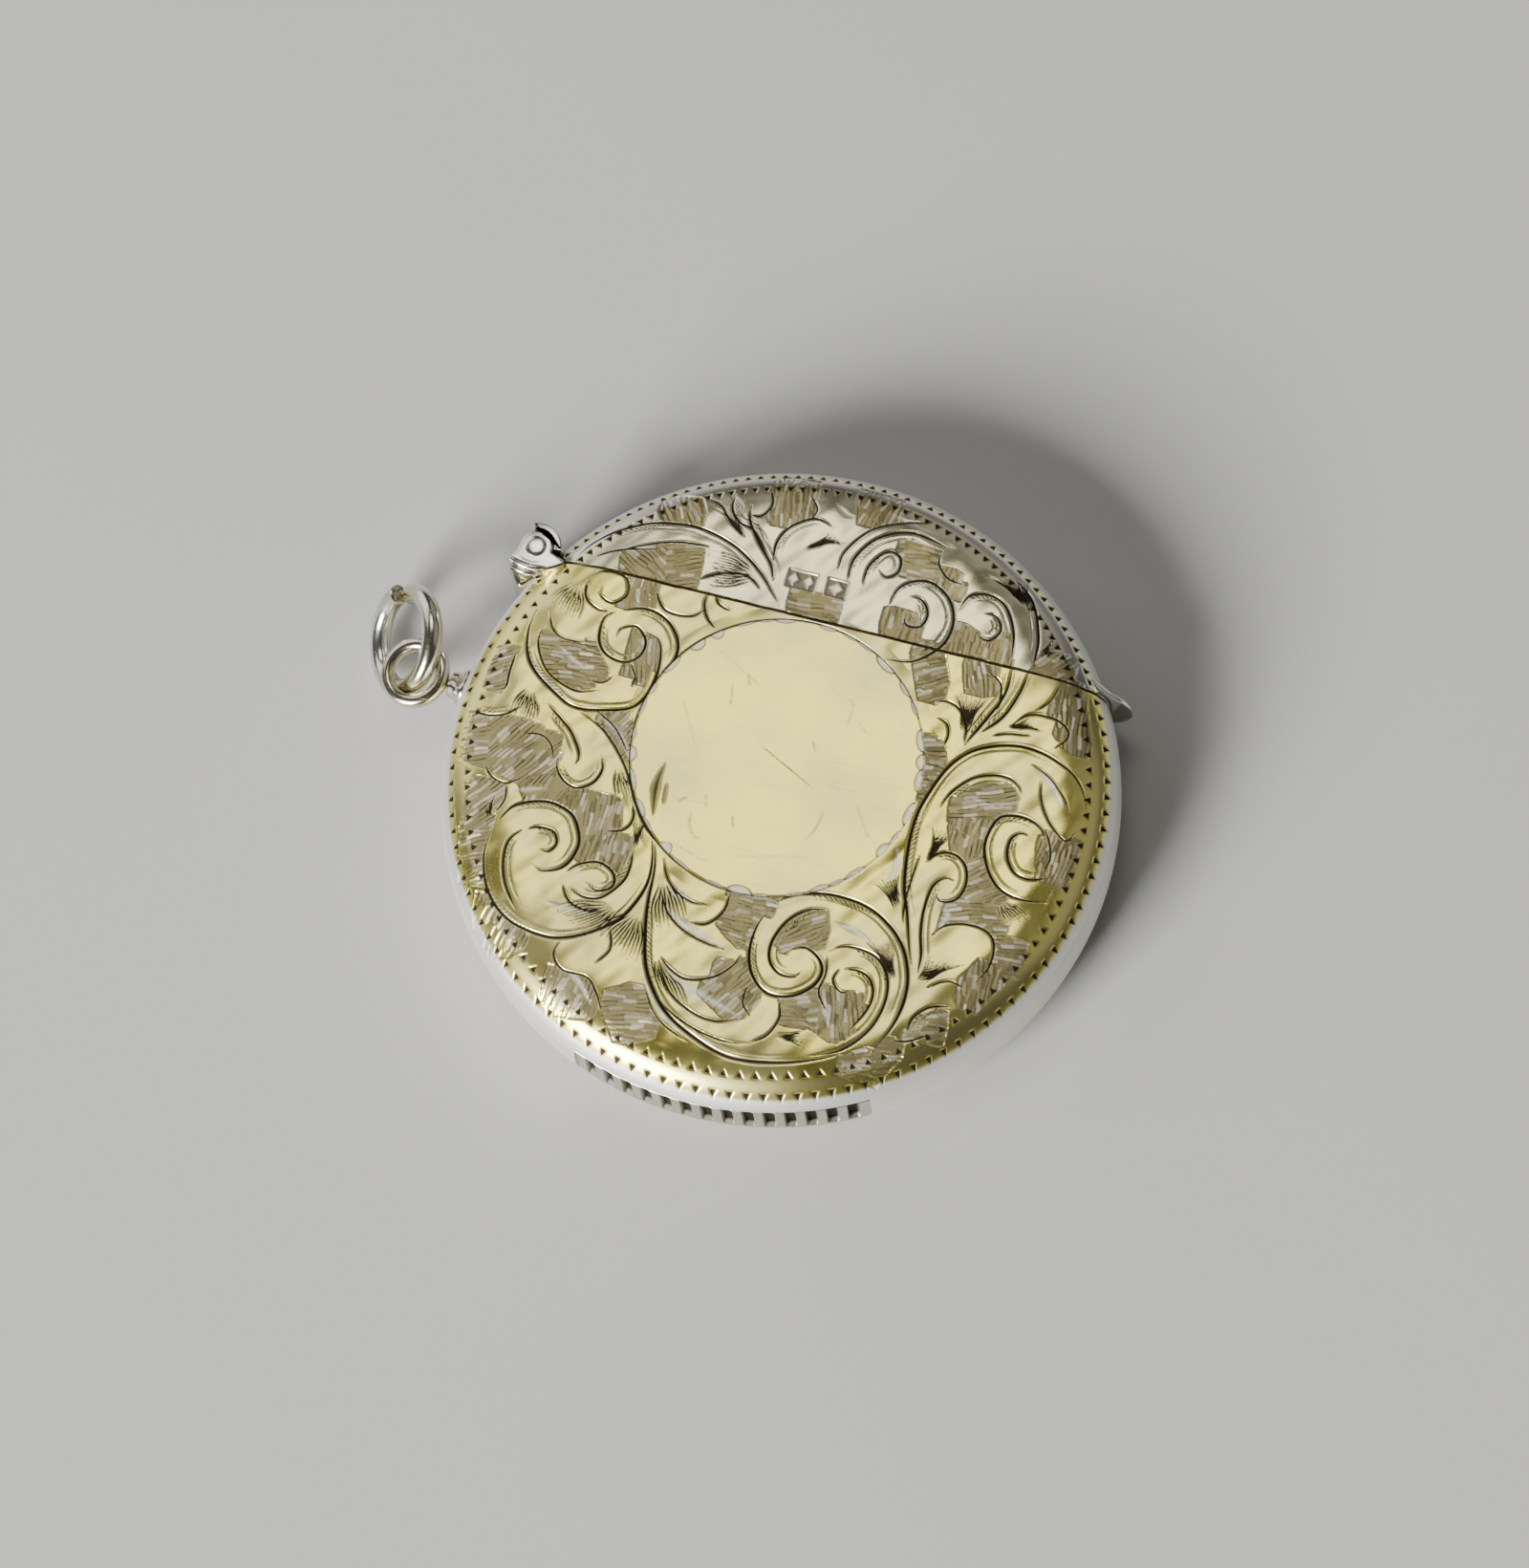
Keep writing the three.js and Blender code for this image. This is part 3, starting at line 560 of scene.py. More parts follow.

# Shallow broad cuts filled with a painted highlight, standing in for the glint of polished facets
PAINTED_GLINT_CUTS = (
    # width in mm, then the x and y of the points
    (0.75, -4.9, -7.9, -3.9, -8.9, -2.0, -9.3),
    (0.95, -4.6, -9.6, -3.0, -10.7, 0.1, -11.6),
    (1.15, -3.7, -13.2, -2.2, -14.4, 1.9, -15.5),
    (0.60, -4.6, -14.4, -2.0, -17.0, 2.2, -17.9),
    (0.60, -12.1, 1.3, -10.2, 0.2, -8.9, -1.6),
    (0.55, -17.2, 4.2, -15.8, 2.5, -13.3, 1.9),
    (0.55, -15.6, 5.0, -14.2, 4.2, -13.4, 4.2),
    (0.80, 15.3, 4.7, 16.6, 3.8, 17.7, 2.4),
    (0.70, 12.0, 1.9, 12.9, 1.5, 14.0, 1.5),
    (0.80, 8.4, -2.4, 8.8, -3.9, 8.2, -5.2),
    (0.70, 11.9, -5.4, 12.6, -6.0, 12.2, -7.2),
    (0.60, 5.8, -8.2, 7.6, -8.5, 9.0, -9.2),
    (0.70, 6.7, -12.9, 7.1, -14.0, 7.6, -14.9),
    (0.55, -15.8, -5.0, -14.6, -4.6, -13.6, -4.3),
    (0.65, -11.8, -11.4, -10.2, -11.6, -8.4, -11.5),
    (0.60, -9.8, -15.2, -8.2, -15.9, -7.0, -17.2),
    (0.60, -12.0, 14.0, -9.0, 14.3, -6.6, 13.6),
    (0.60, 2.4, 18.8, 3.9, 18.3, 5.6, 18.2),
    (0.50, -8.2, 17.6, -7.1, 17.0, -6.8, 16.4),
    (0.55, 14.2, 12.6, 15.3, 12.4, 16.4, 11.6),
    (0.60, -1.4, 18.6, -0.6, 18.0, 0.2, 17.9),
)

GROUND_PATCHES = (
    # hatching angle, then the corners of the patch
    (8, -16.6, 5.2, -14.0, 5.3, -13.2, 4.3, -12.6, 3.6, -14.2, 3.0, -15.8, 3.9),
    (100, -10.9, 7.0, -10.0, 6.8, -9.6, 5.6, -10.0, 4.2, -10.8, 4.6),
    (96, -12.3, 10.5, -11.0, 10.6, -11.0, 9.3, -12.3, 8.9),
    (55, -18.2, -0.9, -16.4, -0.8, -14.2, -1.2, -13.8, -2.6, -15.0, -3.9, -17.8, -3.4),
    (70, -14.9, -3.9, -13.4, -3.6, -12.8, -4.8, -14.2, -5.0),
    (92, -11.8, -4.2, -9.4, -4.3, -9.0, -6.0, -10.6, -6.4, -11.4, -5.4),
    (88, -10.4, -6.8, -8.0, -6.5, -7.6, -7.9, -9.6, -8.0, -10.4, -7.6),
    (60, -11.0, 1.3, -10.0, 0.6, -9.6, -0.8, -10.3, -0.6, -11.4, 0.6),
    (30, -18.9, 3.6, -18.4, 3.8, -18.4, 1.6, -19.0, 1.9),
    (15, -19.4, -1.0, -18.3, -1.0, -18.0, -3.4, -19.2, -3.0),
    (48, -17.9, -5.0, -16.6, -5.2, -16.8, -7.4, -17.9, -7.6),
    (20, -17.6, -8.4, -16.6, -8.4, -16.2, -10.8, -17.0, -10.6),
    (75, -15.6, -12.2, -14.4, -13.2, -12.6, -14.0, -13.6, -14.8, -15.2, -13.4),
    (80, -9.9, -15.8, -7.7, -15.8, -7.2, -17.4, -8.8, -17.6, -9.8, -16.8),
    (12, -6.0, -16.6, -4.6, -15.7, -3.2, -17.6, -4.6, -18.4),
    (0, -0.4, -8.1, 1.8, -8.1, 1.4, -9.2, 1.2, -10.8, 0.2, -10.2, -0.5, -9.6),
    (55, 0.2, -12.8, 1.4, -12.4, 2.4, -13.8, 1.6, -15.4, -0.4, -14.2),
    (35, 3.1, -8.9, 4.9, -8.0, 5.4, -9.4, 4.2, -10.0, 3.1, -10.4),
    (105, 6.6, -12.7, 9.0, -12.8, 9.2, -13.6, 8.3, -15.2, 6.9, -14.6),
    (15, 4.6, -14.2, 6.2, -13.0, 6.6, -14.6, 4.9, -14.9),
    (20, 9.0, -17.0, 10.8, -15.8, 11.8, -14.8, 10.6, -16.9),
    (18, 12.4, -13.0, 13.8, -12.4, 14.0, -13.4, 12.6, -14.0),
    (10, 15.9, -6.9, 17.4, -6.9, 17.2, -8.2, 16.1, -8.0),
    (95, 15.8, -8.8, 16.6, -8.8, 15.4, -11.0, 14.9, -10.4),
    (40, 12.9, -2.4, 14.0, -2.4, 15.4, -4.0, 13.9, -4.8, 13.2, -3.6),
    (15, 12.9, -5.1, 14.9, -4.8, 16.0, -6.2, 14.0, -6.1, 12.8, -6.4),
    (20, 11.3, 1.8, 12.2, 2.7, 13.6, 2.9, 14.4, 1.9, 13.4, 1.0, 11.6, 0.4),
    (85, 17.3, 0.3, 18.9, 0.3, 18.7, -1.8, 17.9, -2.0),
    (88, 11.7, 0.1, 13.3, 0.4, 13.2, -1.6, 12.4, -1.8),
    (100, 16.9, 7.0, 17.8, 6.6, 16.4, 10.4, 15.9, 10.4, 15.7, 8.6),
    (10, 8.3, 4.6, 9.0, 4.2, 9.6, 2.6, 9.0, 1.2, 8.6, 2.8),
    (30, 6.4, 10.5, 7.2, 10.5, 8.2, 8.2, 7.7, 7.6),
    (110, 9.8, 10.6, 10.8, 10.3, 11.4, 9.2, 10.4, 8.8),
    (150, -13.0, 12.2, -11.3, 12.6, -10.7, 11.1, -12.7, 11.0),
    (20, -10.4, 12.7, -9.0, 12.9, -8.8, 11.2, -10.2, 11.1),
    (100, -5.0, 19.3, -3.3, 19.4, -3.0, 18.0, -4.4, 16.6, -5.0, 17.4),
    (75, 0.4, 19.6, 2.2, 19.5, 2.2, 18.4, 0.9, 18.0),
    (5, 3.7, 16.7, 6.0, 16.6, 6.0, 15.3, 4.4, 15.3),
    (85, 4.2, 11.2, 5.7, 11.3, 5.6, 11.7, 4.8, 12.2, 4.0, 12.0),
    (90, 8.2, 12.2, 9.3, 11.8, 9.6, 11.1, 8.1, 11.1),
    (90, 10.2, 11.9, 11.5, 12.3, 11.7, 11.1, 10.2, 11.1),
    (5, -2.0, 11.9, 0.2, 11.9, 0.4, 11.1, -1.8, 11.1),
    (50, 14.0, 12.0, 15.6, 12.0, 15.2, 11.2, 14.0, 11.2),
    (120, -11.6, 16.0, -10.2, 16.4, -9.6, 15.3, -11.0, 15.1),
    (80, 6.6, 15.6, 7.6, 15.2, 7.4, 14.6, 6.7, 14.9),
)

SCRATCHES = (
    # width in mm, then the x and y of the points
    (0.07, -3.6, 6.3, -3.2, 5.2), (0.06, -4.4, 5.6, -4.1, 4.0, -4.1, 3.4),
    (0.07, 3.3, 6.4, 3.4, 5.2, 3.3, 4.2), (0.09, 2.9, 6.2, 3.4, 5.7),
    (0.09, 1.5, 2.9, 2.0, 2.1), (0.07, 3.5, -1.0, 3.3, -2.6, 2.8, -3.7),
    (0.10, -4.5, -3.2, -4.4, -4.4, -3.8, -5.1, -3.2, -5.1), (0.08, -4.0, -2.0, -3.6, -3.3),
    (0.09, -2.0, -3.0, -1.7, -4.0), (0.10, -5.6, -3.2, -4.9, -2.6),
    (0.06, -6.5, 7.6, -1.8, 5.1), (0.05, -2.2, -6.0, 4.4, -4.3), (0.05, 0.2, 8.1, 6.0, 3.0),
    (0.05, -7.4, 4.1, -5.2, 0.2), (0.06, 5.1, -0.2, 7.0, -2.9),
    (0.05, -5.8, -5.6, -1.2, -6.9), (0.05, -1.8, 1.9, 2.9, -0.4),
)


def scallops(chart):
    """Bites round the inside of the cartouche with a painted highlight in each, and the thin line
    that bounds it.
    """
    rng = np.random.default_rng(7)
    turns = np.linspace(0, 2 * math.pi, 300)
    ring = CARTOUCHE - ORNAMENT_SHIFT
    outline = ring + CARTOUCHE_RADIUS * np.column_stack([np.cos(turns), np.sin(turns)])
    carve(chart, outline, 0.18, 0.06, -0.4, 0.9)
    for index in range(CARTOUCHE_BITES):
        turn = 2 * math.pi * (index + 0.7 * rng.random()) / CARTOUCHE_BITES
        size = 0.45 + 0.4 * rng.random()
        deep = 0.2 + 0.4 * rng.random() ** 2
        away = CARTOUCHE_RADIUS + 0.02
        middle = CARTOUCHE + away * np.array([math.cos(turn), math.sin(turn)])
        cells, x, y = chart.window(middle - size, middle + size)
        inward = -(x - middle[0]) * math.cos(turn) - (y - middle[1]) * math.sin(turn)
        along = (y - middle[1]) * math.cos(turn) - (x - middle[0]) * math.sin(turn)
        round_off = (inward / deep) ** 2 + (along / size) ** 2
        bowl = np.clip(1 - round_off, 0, 1)
        bowl = np.where(inward > -0.05, bowl, 0)
        chart.sink(cells, 0.03 * bowl)
        # painted highlight in each bite
        chart.shade("bright", cells, 0.9 * np.minimum(1, 3 * bowl))
        rim = np.exp(-((round_off - 0.95) / 0.22) ** 2)
        chart.shade("cut", cells, 0.5 * rim * (inward > 0))


def punch_rows(chart):
    """Two rows of three-cornered punch marks round the border, on circles."""
    x, y = np.meshgrid(chart.axis, chart.axis)
    away, turn = np.hypot(x, y), np.arctan2(y, x)
    size = sizes().dot_size / MM
    for row, radius in enumerate(DOT_ROWS):
        count = np.where(y > MOUTH, LID_DOTS, DOTS)
        phase = turn / (2 * math.pi) * count + 0.5 * row
        along = (phase - np.round(phase)) * 2 * math.pi * radius / count
        out = (away - radius) * (1 if row else -1)
        mark = np.maximum(out, np.abs(along) * 0.87 - out * 0.5) / size * 1.25
        pit = np.clip(1.25 - mark, 0, 1) * (np.abs(away - radius) < 2 * size)
        chart.height = np.minimum(chart.height, -0.07 * pit).astype(np.float32)
        chart.masks["cut"] = np.maximum(chart.masks["cut"], pit).astype(np.float32)
    edge = (away - DOT_ROWS[1] - 0.3) / 0.1, (DOT_ROWS[0] - 0.3 - away) / 0.1
    chart.masks["band"] = np.clip(np.minimum(*edge), 0, 1).astype(np.float32)
    chart.masks["rim"] = np.clip((away - DOT_ROWS[0] - 0.12) / 0.12, 0, 1).astype(np.float32)
    outside = away > DOT_ROWS[1] + 0.35
    for name in ("ground", "bright"):
        chart.masks[name][outside] = 0


def stamp_frames(chart):
    """Two small sunk frames beside the mouth, each holding plain raised lozenges; the field is
    darkened and the lozenges get a painted highlight.
    """
    for left, right, count in ((-3.0, -1.05, 2), (-0.45, 0.95, 1)):
        low = np.array([left, 12.35]) + ORNAMENT_SHIFT
        high = np.array([right, 13.6]) + ORNAMENT_SHIFT
        cells, x, y = chart.window(low - 0.2, high + 0.2)
        across, up = (x - low[0]) / (high[0] - low[0]), (y - low[1]) / (high[1] - low[1])
        gap = np.minimum.reduce([x - low[0], high[0] - x, y - low[1], high[1] - y])
        field = np.clip(gap / 0.08, 0, 1)
        lozenge = np.abs((across * count) % 1 - 0.5) * 2 + np.abs(up - 0.5) * 2
        raised = np.clip((0.78 - lozenge) / 0.12, 0, 1)
        chart.height[cells] = np.where(
            field > 0, -0.11 * field * (1 - 0.8 * raised), chart.height[cells],
        )
        for name in ("ground", "bright"):
            chart.masks[name][cells] = np.where(field > 0, 0, chart.masks[name][cells])
        chart.masks["cut"][cells] = np.where(field > 0, 0.45 * field * (1 - raised), 0)
        # painted highlight on the raised lozenges
        chart.shade("bright", cells, 0.8 * raised * field)


def hand_worked(x, y, away):
    """The uneven surface round the cartouche: three low waves, all below the plain face,
    that fade out at the cartouche and at the border."""
    wave = np.sin(2.1 * x + 0.6 * y) + np.sin(1.7 * y - 1.1 * x + 1)
    wave += 0.6 * np.sin(3.3 * x - 2.4 * y)
    inner = np.clip((away - CARTOUCHE_RADIUS) / 0.8, 0, 1)
    outer = np.clip((DOT_ROWS[1] - np.hypot(x, y)) / 0.8, 0, 1)
    return UNEVENNESS * (wave - WAVE_PEAK) * inner * outer


def engrave():
    """The whole ornament of a face: ground, shallow facets in painted highlight, fans, lines,
    cartouche and dots.
    """
    chart = Chart()
    depth = sizes().cut_depth / MM
    # shallow facets painted with the highlight colour
    for width, *points in PAINTED_GLINT_CUTS:
        carve(chart, points, width, 0.028, 0.2, 1.0, peak=0.45, mask="bright")
    for x, y, x1, y1, x2, y2, count in LEAF_FANS:
        fan(chart, (x, y), (x1, y1), (x2, y2), count)
    for width, lean, *points in BODY_LINES + LID_LINES:
        carve(chart, points, width, depth * width / 0.3, lean)
        if width > 0.25:
            carve(chart, echo(points, ECHO_GAP), 0.13, 0.05, 0.3, 0.75)
            shade_bend(chart, points)
    lay_ground(chart)
    x, y = np.meshgrid(chart.axis, chart.axis)
    away = np.hypot(x - CARTOUCHE[0], y - CARTOUCHE[1])
    plain = away < CARTOUCHE_RADIUS
    chart.height[plain] = 0
    for name in ("cut", "ground", "bright"):
        chart.masks[name][plain] = 0
    scallops(chart)
    for width, *points in SCRATCHES:
        carve(chart, points, 1.6 * width, 0.02, 0.2, 0.42)
    carve(chart, (-6.9, -0.6, -7.1, -2.4, -6.7, -4.6), 0.8, 0.09, 0.1, 0.62, peak=0.5)
    carve(chart, (-6.5, -2.0, -6.3, -3.6), 0.3, 0.05, 0.1, 0.5)
    stamp_frames(chart)
    punch_rows(chart)
    chart.height = chart.height + hand_worked(x, y, away)
    # a painted shadow: a dark line along the gap at the mouth, with a painted highlight on one
    # flank
    mouth = MOUTH - PARTED - ORNAMENT_SHIFT[1]
    carve(chart, (-20, mouth, 0, mouth, 20, mouth), 0.24, 0.03, 0, 1.0)
    return chart


CHARTS = {}


def chart():
    """The engraved chart, worked out once."""
    if "face" not in CHARTS:
        CHARTS["face"] = engrave()
    return CHARTS["face"]


# Meshes from grids of points


def rows_of_quads(rows, columns, wrap_rows, wrap_columns):
    """Corner numbers of the quads on a grid, closed round in either direction or both."""
    i = np.arange(rows if wrap_rows else rows - 1)
    j = np.arange(columns if wrap_columns else columns - 1)
    i, j = (a.ravel() for a in np.meshgrid(i, j, indexing="ij"))
    down, along = (i + 1) % rows, (j + 1) % columns
    return np.column_stack([
        i * columns + j, i * columns + along, down * columns + along, down * columns + j,
    ])


def make_piece(name, grid, material, body, replaced=(), wrap_rows=False,
               wrap_columns=True, caps=True, masks=None, normals=None, sharp=40):
    """A mesh from a grid of points in millimetres. Rows that don't wrap are closed with one
    face at each end, and the whole is turned so that its enclosed volume is positive."""
    rows, columns = grid.shape[:2]
    points = grid.reshape(-1, 3) * MM
    quads = rows_of_quads(rows, columns, wrap_rows, wrap_columns)
    ends = []
    if caps and not wrap_rows:
        first = np.arange(columns)
        ends = [first[::-1].copy(), first + (rows - 1) * columns]
    a, b, c, d = (points[quads[:, k]] for k in range(4))
    volume = np.einsum("ij,ij->", a, np.cross(b, c)) + np.einsum("ij,ij->", a, np.cross(c, d))
    for end in ends:
        fan_points = points[end]
        volume += np.einsum(
            "ij,ij->", np.broadcast_to(fan_points[0], fan_points[1:-1].shape),
            np.cross(fan_points[1:-1], fan_points[2:]),
        )
    if volume < 0:
        quads = quads[:, ::-1]
        ends = [end[::-1] for end in ends]
    corners = np.concatenate([quads.ravel(), *ends]).astype(np.int32)
    counts = np.concatenate([np.full(len(quads), 4), [len(end) for end in ends]])
    starts = np.append(0, np.cumsum(counts)[:-1]).astype(np.int32)
    mesh = bpy.data.meshes.new(name)
    mesh.vertices.add(len(points))
    mesh.vertices.foreach_set("co", points.astype(np.float32).ravel())
    mesh.loops.add(len(corners))
    mesh.loops.foreach_set("vertex_index", corners)
    mesh.polygons.add(len(counts))
    mesh.polygons.foreach_set("loop_start", starts)
    for mask, values in (masks or {}).items():
        layer = mesh.attributes.new(mask, "FLOAT", "POINT")
        layer.data.foreach_set("value", np.asarray(values, np.float32).ravel())
    mesh.update(calc_edges=True)
    mesh.validate()
    mesh.shade_smooth()
    if normals is not None:
        normals = normals.reshape(-1, 3)
        corner, right, _, left = (points[quads[:, k]] for k in range(4))
        facing = np.cross(right - corner, left - corner)
        agree = np.einsum("ij,ij->", facing, normals[quads[:, 0]])
        mesh.normals_split_custom_set_from_vertices(normals * np.sign(agree))
    elif sharp:
        mesh.set_sharp_from_angle(angle=math.radians(sharp))
    mesh.materials.append(material)
    piece = bpy.data.objects.new(name, mesh)
    bpy.context.scene.collection.objects.link(piece)
    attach(piece, body)
    if replaced:
        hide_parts(*replaced)
    return piece


def sheet_normals(sheet):
    """Unit normals on a sheet closed round its columns, one-sided at its first and last row."""
    along = np.gradient(sheet, axis=0)
    across = np.roll(sheet, -1, axis=1) - np.roll(sheet, 1, axis=1)
    normal = np.cross(across, along)
    return normal / np.maximum(np.linalg.norm(normal, axis=-1, keepdims=True), 1e-12)


def face_surface(x, y, side, inset=0.0, engraved=True):
    """Points of a face over x and y. The face is flat to the flat radius, and beyond it the
    height falls as a quarter of a superellipse. Engraving moves a point along the normal."""
    away = np.hypot(x, y)
    reach, height = EDGE_REACH - inset, HALF_THICKNESS - inset
    out = np.clip((away - FLAT_RADIUS) / reach, 0, 0.995)
    rest = 1 - out**EDGE_FULLNESS
    rise = height * rest ** (1 / EDGE_FULLNESS)
    slope = height / reach * out ** (EDGE_FULLNESS - 1) * rest ** (1 / EDGE_FULLNESS - 1)
    lift = np.zeros_like(x)
    masks = {name: np.zeros_like(x) for name in MASKS}
    if engraved:
        lift = chart().sample(chart().height, side * x, y)
        masks = {
            name: chart().sample(layer, side * x, y)
            for name, layer in chart().masks.items()
        }
    scale = lift / np.sqrt(1 + slope**2)
    safe = np.maximum(away, 1e-9)
    points = np.stack([
        x + scale * slope * x / safe,
        y + scale * slope * y / safe,
        MIDDLE + side * (rise + scale),
    ], axis=-1)
    return points, masks


def edge_radius(height, inset=0.0):
    """Radius of the case at a height from its middle plane."""
    share = np.clip(np.abs(height) / (HALF_THICKNESS - inset), 0, 1)
    return FLAT_RADIUS + (EDGE_REACH - inset) * (1 - share**EDGE_FULLNESS) ** (1 / EDGE_FULLNESS)


def ray_reach(turn, centre, radius, mouth, notch):
    """Distance from centre along each turn to the nearest of circle, mouth line and notch."""
    ux, uy = np.cos(turn), np.sin(turn)
    middle = centre[0] * ux + centre[1] * uy
    circle = -middle + np.sqrt(middle**2 + radius**2 - centre @ centre)
    with np.errstate(divide="ignore", invalid="ignore"):
        line = np.where(uy > 1e-6, (mouth - centre[1]) / uy, np.inf)
        from_hinge = centre - HINGE
        half = from_hinge[0] * ux + from_hinge[1] * uy
        root = half**2 - from_hinge @ from_hinge + notch**2
        hollow = np.where(root > 0, -half - np.sqrt(np.maximum(root, 0)), np.inf)
    return np.minimum.reduce([circle, line, np.where(hollow > 0, hollow, np.inf)])


def closed_sheets(top, masks, under):
    """The outer and inner surface of a face as one grid, with its normals. The masks keep
    to the outer surface."""
    blank = np.zeros(under.shape[:2])
    masks = {name: np.concatenate([values, blank]) for name, values in masks.items()}
    normals = np.concatenate([sheet_normals(top), sheet_normals(under)])
    return np.concatenate([top, under]), masks, normals


def body_face(side, pitch, sectors, names, material, replaced):
    """One face of the body below the mouth, as a plain core and a ring of sectors.

    A point is centre + distance * (cos turn, sin turn), with the distance going from the core
    out to the boundary, then down the edge of the wall and back along the inner surface."""
    outer, inner = edge_radius(BAND_EDGE + SEAM), edge_radius(BAND_EDGE + SEAM, WALL)
    mouth = MOUTH - PARTED
    centre = CARTOUCHE * np.array([side, 1])
    even = np.linspace(0, 2 * math.pi, 4000)
    reach = ray_reach(even, centre, outer, mouth, NOTCH)
    weight = np.append(0, np.cumsum((reach[1:] + reach[:-1]) / 2 * np.diff(even)))
    columns = int(weight[-1] / pitch)
    turn = np.interp(np.arange(columns) / columns * weight[-1], weight, even)
    rows = int((reach.max() - CARTOUCHE_CORE) / pitch)
    out = ray_reach(turn, centre, outer, mouth, NOTCH)
    back = ray_reach(turn, centre, inner, mouth, NOTCH)
    ux, uy = np.cos(turn), np.sin(turn)

    def sheet(share, limit, inset, engraved):
        distance = CARTOUCHE_CORE + share[:, None] * (limit - CARTOUCHE_CORE)
        return face_surface(
            centre[0] + distance * ux, centre[1] + distance * uy, side, inset, engraved,
        )

    top, masks = sheet(np.linspace(0, 1, rows), out, 0, True)
    under, _ = sheet(np.linspace(1, 0, UNDER_ROWS) ** 0.7, back, WALL, False)
    grid, masks, normals = closed_sheets(top, masks, under)
    limits = np.linspace(0, columns, sectors + 1).astype(int)
    for name, first, last in zip(names[1:], limits, limits[1:]):
        cut = np.arange(first, last + 1) % columns
        make_piece(
            name, grid[:, cut].transpose(1, 0, 2), material, "case_body",
            masks={key: values[:, cut].T for key, values in masks.items()},
            normals=normals[:, cut].transpose(1, 0, 2),
        )
    around, across = FRONT_CORE if side > 0 else BACK_CORE
    turns = np.linspace(0, 2 * math.pi, around, endpoint=False)
    ring = np.linspace(0.006, 1, across)
    ux, uy = np.cos(turns), np.sin(turns)

    def disc(share, inset, engraved):
        distance = CARTOUCHE_CORE * share[:, None]
        return face_surface(
            centre[0] + distance * ux, centre[1] + distance * uy, side, inset, engraved,
        )

    top, masks = disc(ring, 0, True)
    under, _ = disc(np.linspace(1, 0.006, 8), WALL, False)
    grid, masks, normals = closed_sheets(top, masks, under)
    make_piece(
        names[0], grid, material, "case_body", replaced,
        masks=masks, normals=normals,
    )


def lid_face(side, pitch, name, material, replaced):
    """One face of the lid: upright columns from the mouth or the notch up to the circle.

    A point is (x, low(x) + share * (high(x) - low(x))), first over the outer surface and
    then back over the inner one."""
    mouth = MOUTH + PARTED

    def sheet(radius, inset, rows, engraved):
        left = radius * math.cos(HINGE_TURN - notch_turn(radius, NOTCH)) + 0.004
        right = math.sqrt(radius**2 - mouth**2) - 0.002
        x = np.linspace(left, right, int((right - left) / pitch))
        if not engraved:
            x = np.linspace(left, right, columns)
        near = np.maximum(NOTCH**2 - (x - HINGE[0]) ** 2, 0)
        hollow = np.where(near > 0, HINGE[1] + np.sqrt(near), -np.inf)
        low = np.maximum(mouth, hollow)
        high = np.maximum(np.sqrt(np.maximum(radius**2 - x**2, 0)), low + 0.002)
        y = low + rows[:, None] * (high - low)
        return face_surface(np.broadcast_to(x, y.shape), y, side, inset, engraved), len(x)

    tall = edge_radius(BAND_EDGE + SEAM) - mouth
    rows = np.linspace(0, 1, int(tall / pitch))
    (top, masks), columns = sheet(edge_radius(BAND_EDGE + SEAM), 0, rows, True)
    inner = edge_radius(BAND_EDGE + SEAM, WALL)
    (under, _), _ = sheet(inner, WALL, np.linspace(1, 0, 26), False)
    grid, masks, _ = closed_sheets(top, masks, under)
    return make_piece(
        name, grid.transpose(1, 0, 2), material, "lid", replaced,
        masks={key: values.T for key, values in masks.items()}, sharp=70,
    )


def rim_band(name, body, start, end, material, replaced):
    """The silver band round the side. Its section is carried round the case between two end
    angles that depend on the radius, so that the ends follow the mouth and the notch. In the
    window of the striker the section steps in behind the strip."""
    height = np.sort(np.append(
        np.linspace(-BAND_EDGE, BAND_EDGE, 23), (-WINDOW_HALF_HEIGHT, WINDOW_HALF_HEIGHT),
    ))
    section = np.concatenate([
        np.column_stack([edge_radius(height), height]),
        np.column_stack([edge_radius(height, WALL), height])[::-2],
    ])
    radius, level = section.T
    first, last = start(radius), end(radius)
    from_end, to_end = first.mean(), last.mean()
    turn = np.linspace(from_end, to_end, 380 if body == "case_body" else 150)
    half = STRIKER_HALF_TURN + SEAM / RADIUS
    middle = STRIKER_TURN + 2 * math.pi
    steps = [middle + side * (half + shift) for side in (-1, 1) for shift in (0, 1e-4)]
    if body == "case_body":
        turn = np.sort(np.append(turn, steps))
    near_start = np.clip(1 - (turn - from_end) / 0.15, 0, 1)[:, None]
    near_end = np.clip(1 - (to_end - turn) / 0.15, 0, 1)[:, None]
    angle = turn[:, None] + near_start * (first - from_end) + near_end * (last - to_end)
    window = (np.abs(turn - middle) < half + 5e-5)[:, None] & (
        np.abs(level) < WINDOW_HALF_HEIGHT + 1e-4
    )
    outer = np.arange(len(level)) < len(height)
    depth = np.where(outer, WINDOW_OUTER, WINDOW_INNER)
    out = np.where(window, np.minimum(radius, depth), radius)
    grid = np.stack([
        out * np.cos(angle), out * np.sin(angle), np.broadcast_to(MIDDLE + level, out.shape),
    ], axis=-1)
    return make_piece(name, grid, material, body, replaced)


def notch_turn(radius, notch):
    """Angle between the hinge and the edge of the round notch, at each radius."""
    share = (radius**2 + HINGE_DISTANCE**2 - notch**2) / (2 * radius * HINGE_DISTANCE)
    return np.arccos(np.clip(share, -1, 1))


